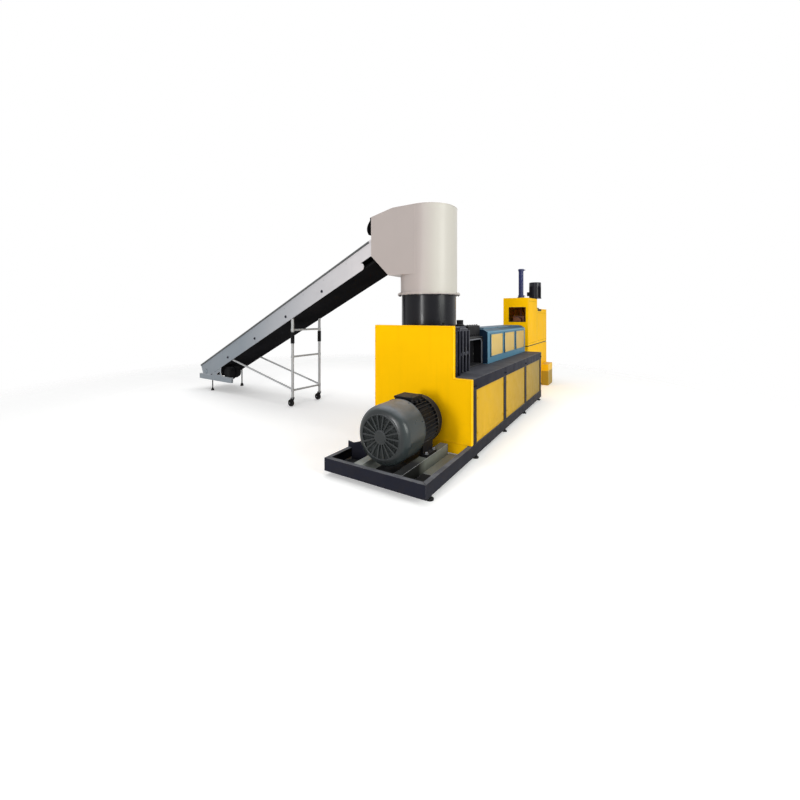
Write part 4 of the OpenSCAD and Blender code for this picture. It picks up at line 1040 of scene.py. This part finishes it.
def cabinets():
    """Doors, louvres, window gasket and grip of the pelletizer's cabinets, and a black band of painted
    shade in the seam over the base.
    """
    gaps, fittings, lines, gasket, vents = meshes(5)
    tall_lo, tall_hi = BOX["pelletizer_cabinet"]
    rear_lo, rear_hi = BOX["rear_cabinet"]
    left, right, back = tall_lo.x, tall_hi.x, rear_hi.y
    base = (0.12, rear_lo.z - 0.070)
    columns = [((tall_lo.y + 0.05, tall_hi.y - 0.04), (tall_lo.z + 0.04, tall_hi.z - 0.06)),
               ((rear_lo.y + 0.04, rear_hi.y - 0.05), (rear_lo.z + 0.05, rear_hi.z - 0.09))]
    for along_y, up_z in columns:
        door(gaps, fittings, side_rectangle(*along_y, *up_z, left), -X)
        door(gaps, fittings, side_rectangle(*along_y, *base, left), -X)
        door(lines, fittings, side_rectangle(*along_y, *up_z, right), X, False)
    across = (rear_hi.x - 0.05, rear_lo.x + 0.05)
    for up_z in ((rear_lo.z + 0.05, rear_hi.z - 0.06), base):
        door(gaps, fittings, rectangle(*across, *up_z, back), Y, False)
    louvre(vents, (left, (rear_lo.y + rear_hi.y) / 2 + 0.1, rear_lo.z + 0.18), -X, 0.30, 6)
    # Window gasket on the tall cabinet
    middle, half, window_h, window_top = SCREW_X + 0.035, 0.1625, 0.290, tall_hi.z - 0.195
    window = rectangle(middle - half, middle + half, window_top - window_h, window_top, tall_lo.y)
    rim(gasket, window, 0.006)
    # Black band in the seam over the base, a dark strip that stands for the shade in that recess, and
    # the grip along the rear cabinet's slot
    seam, inset = 0.020, 0.008
    outer = (left + inset, tall_lo.y + inset, rear_lo.z - seam + 0.001)
    slab(gasket, outer, (right - inset, back - inset, rear_lo.z - 0.001), 0.002)
    grip = (rear_hi.x - 0.010, rear_lo.y + 0.062, rear_hi.z - 0.049)
    slab(gasket, grip, (rear_hi.x + 0.006, rear_lo.y + 0.418, rear_hi.z - 0.006), 0.004)
    piece("cabinet_seams", lines, "yellow_paint")
    piece("cabinet_gaps", gaps, "black_paint")
    piece("cabinet_fittings", fittings, "yellow_paint")
    piece("cabinet_seals_and_seam_shade", gasket, "black_rubber")
    piece("cabinet_louvres", vents, "yellow_paint")


def bases():
    """Doors and louvres of the compactor's base and of the drive cabinet."""
    gaps, fittings, vents = meshes(3)
    lo, hi = BOX["compactor_base"]
    drive_lo, drive_hi = BOX["drive_cabinet"]
    e, drive_e = 0.05, 0.04
    up_z = (lo.z + e, hi.z - e)
    door(gaps, fittings, side_rectangle(lo.y + e, hi.y - e, *up_z, lo.x), -X)
    door(gaps, fittings, rectangle(hi.x - e, lo.x + e, *up_z, hi.y), Y)
    along_y, up_z = (drive_lo.y + drive_e, drive_hi.y - drive_e), (drive_lo.z + e, drive_hi.z - e)
    door(gaps, fittings, side_rectangle(*along_y, *up_z, drive_lo.x), -X)
    louvre(vents, (lo.x, DRUM_Y, lo.z + 0.20), -X, 0.34, 7)
    louvre(vents, (drive_lo.x, (drive_lo.y + drive_hi.y) / 2, drive_hi.z - 0.24), -X, 0.20, 8)
    piece("base_gaps", gaps, "black_paint")
    piece("base_fittings", fittings, "yellow_paint")
    piece("base_louvres", vents, "yellow_paint")


# Slide cylinder, cutter motor and pellet box

def cylinder():
    """Foot ring, cap, bolts and ports of the slide cylinder."""
    lo, hi = BOX["slide_cylinder"]
    centre = Vector(((lo.x + hi.x) / 2, (lo.y + hi.y) / 2, 0))
    foot = centre + Z * (lo.z + 0.026)
    ring = [(0.0505, 0), (0.060, 0.001), (0.060, 0.045), (0.056, 0.050), (0.0505, 0.050)]
    cap = [(0.059, -0.002), (0.054, 0.003), (0.030, 0.004), (0.028, 0.004), (0, 0.004)]
    port = [(0.012, 0), (0.012, 0.010), (0.009, 0.011), (0.009, 0.020), (0.012, 0.021), (0.012, 0.030),
            (0, 0.030)]
    bolt_r, port_r, port_low, port_high = 0.069, 0.057, 0.055, 0.020
    bm = bmesh.new()
    lathe(bm, shift(foot), ring, 40, closed=True)
    lathe(bm, shift(centre + Z * hi.z), cap, 40)
    bolt_circle(bm, foot, bolt_r, X, Y, 4, Z, 0.014, pi / 4)
    for z in (lo.z + port_low, hi.z - port_high):
        lathe(bm, along(centre + Z * z + X * port_r, X), port, 6)
    piece("cylinder_rings", bm, "cylinder_paint")


def cutter():
    """Fan cap of the cutter motor and the bolts of its two flanges."""
    lo, hi = BOX["cutter_motor"]
    centre = Vector((SCREW_X + 0.120, BOX["rear_cabinet"][0].y + 0.400, 0))
    radius = hi.x - centre.x - 0.008
    cap = [(radius, -0.010), (radius - 0.002, -0.003), (radius - 0.012, 0.002), (0.030, 0.004),
           (0.028, 0.002), (0, 0.002)]
    rib_up, rib_r, rib_step = 0.003, 0.040, 0.02
    foot_t, foot_r, flange_z, flange_r = 0.018, 0.066, 0.256, 0.128
    bm = bmesh.new()
    lathe(bm, shift(centre + Z * hi.z), cap, 48)
    for k in range(4):
        hoop(bm, centre + Z * (hi.z + rib_up), rib_r + rib_step * k, X, Y, 48, 0.0022)
    bolt_circle(bm, centre + Z * (lo.z + foot_t), foot_r, X, Y, 6, Z, 0.016)
    bolt_circle(bm, centre + Z * (lo.z + flange_z), flange_r, X, Y, 8, Z, 0.012)
    piece("cutter_cap", bm, "drum_paint")


def pellet_box():
    """Folded top edge and pressed side of the low box."""
    lo, hi = BOX["pellet_box"]
    left, z, press, low, under = lo.x + 0.004, hi.z - 0.003, 0.03, 0.03, 0.18
    bm = bmesh.new()
    rim(bm, [(left, lo.y, z), (hi.x, lo.y, z), (hi.x, hi.y, z), (left, hi.y, z)], 0.003)
    rim(bm, side_rectangle(lo.y + press, hi.y - press, low, hi.z - under, hi.x), 0.003)
    piece("pellet_box_rims", bm, "yellow_panel")


# Small pieces of each part of the machine
for detail in (skid, motor, cowl, terminal_box, guard, panels, gearbox, feed_section, cover, die,
               drum, hood, curtain, conveyor, drive, stand, cabinets, bases, cylinder, cutter,
               pellet_box):
    detail()


# Floor, light and camera

def floor():
    """Pale floor that takes the shadow and clears to white away from the machine."""
    radius, clears_from, clears_to, glow = 14, 4.4, 8.0, 0.24
    bm = bmesh.new()
    lathe(bm, shift((0, 0, -0.001)), [(radius, 0), (0, 0)], 64)
    mesh = bpy.data.meshes.new("floor")
    bm.to_mesh(mesh)
    bm.free()
    g = Graph("floor")
    g.set("Base Color", g.mix(g.noise(0.8, 3.0), srgb(246, 246, 246), srgb(251, 251, 251)))
    g.set("Roughness", 0.9)
    g.set("Specular IOR Level", 0.1)
    reach = g.node("VectorMath", {0: g.coords}, operation="LENGTH").outputs["Value"]
    g.set("Alpha", g.span(reach, clears_from, clears_to, 1.0, 0.0))
    seen = g.node("LightPath", {}).outputs["Is Camera Ray"]
    g.set("Emission Color", (1, 1, 1, 1))
    g.set("Emission Strength", g.math("MULTIPLY", seen, glow))
    mesh.materials.append(g.material)
    add("floor", mesh)


def sky(strength):
    """White background for the eye and reflections, softer as a light."""
    world = bpy.data.worlds.new("studio")
    bpy.context.scene.world = world
    world.use_nodes = True
    nodes, links = world.node_tree.nodes, world.node_tree.links
    nodes.clear()
    seen, light = nodes.new("ShaderNodeBackground"), nodes.new("ShaderNodeBackground")
    light.inputs["Strength"].default_value = strength
    for background in (seen, light):
        background.inputs["Color"].default_value = (1, 1, 1, 1)
    path = nodes.new("ShaderNodeLightPath")
    mixed, out = nodes.new("ShaderNodeMixShader"), nodes.new("ShaderNodeOutputWorld")
    clear = path.outputs["Is Camera Ray"]
    for ray in ("Is Glossy Ray", "Is Transmission Ray"):
        either = nodes.new("ShaderNodeMath")
        either.operation = "MAXIMUM"
        links.new(clear, either.inputs[0])
        links.new(path.outputs[ray], either.inputs[1])
        clear = either.outputs[0]
    for socket, value in zip(mixed.inputs, (clear, light.outputs[0], seen.outputs[0])):
        links.new(value, socket)
    links.new(mixed.outputs[0], out.inputs[0])


def lamp(name, place, target, power, size, tint=(1, 1, 1)):
    """Soft box that faces a point."""
    data = bpy.data.lights.new(name, "AREA")
    data.shape = "RECTANGLE"
    data.size, data.size_y = size
    data.energy = power
    data.color = tint
    made = add(name, data)
    made.location = place
    made.rotation_euler = (Vector(target) - Vector(place)).to_track_quat("-Z", "Y").to_euler()


def camera():
    """View of the photograph: eye height, heading and lens from its vanishing points."""
    eye_right, eye_front, eye_height = 1.459, 2.738, 1.600
    heading = radians(32.03)
    data = bpy.data.cameras.new("camera")
    data.sensor_width = 36
    data.lens = 16.614
    data.shift_y = -0.1056
    made = add("camera", data)
    made.location = (SKID_HI.x + eye_right, SKID_LO.y - eye_front, eye_height)
    made.rotation_euler = (radians(90), 0, heading)
    bpy.context.scene.camera = made


floor()
sky(strength=0.42)
lamp("front", (DRUM_X + 4.0, DRUM_Y - 24.0, 9.0), (DRUM_X + 1.0, DRUM_Y, 1.2), power=1120,
     size=(9.0, 7.0))
lamp("front_strip", (DRUM_X, DRUM_Y - 8.0, 1.5), (DRUM_X, DRUM_Y, 1.5), power=185, size=(0.6, 1.8))
lamp("right", (DRUM_X + 11.0, DRUM_Y - 1.5, 4.5), (DRUM_X, DRUM_Y + 1.0, 1.4), power=820,
     size=(5.0, 5.0), tint=(0.98, 1.0, 0.95))
lamp("top", (0, 0, 8.0), (0, 0, 0), power=300, size=(7.0, 7.0))
camera()
bpy.context.scene.view_settings.view_transform = "Standard"
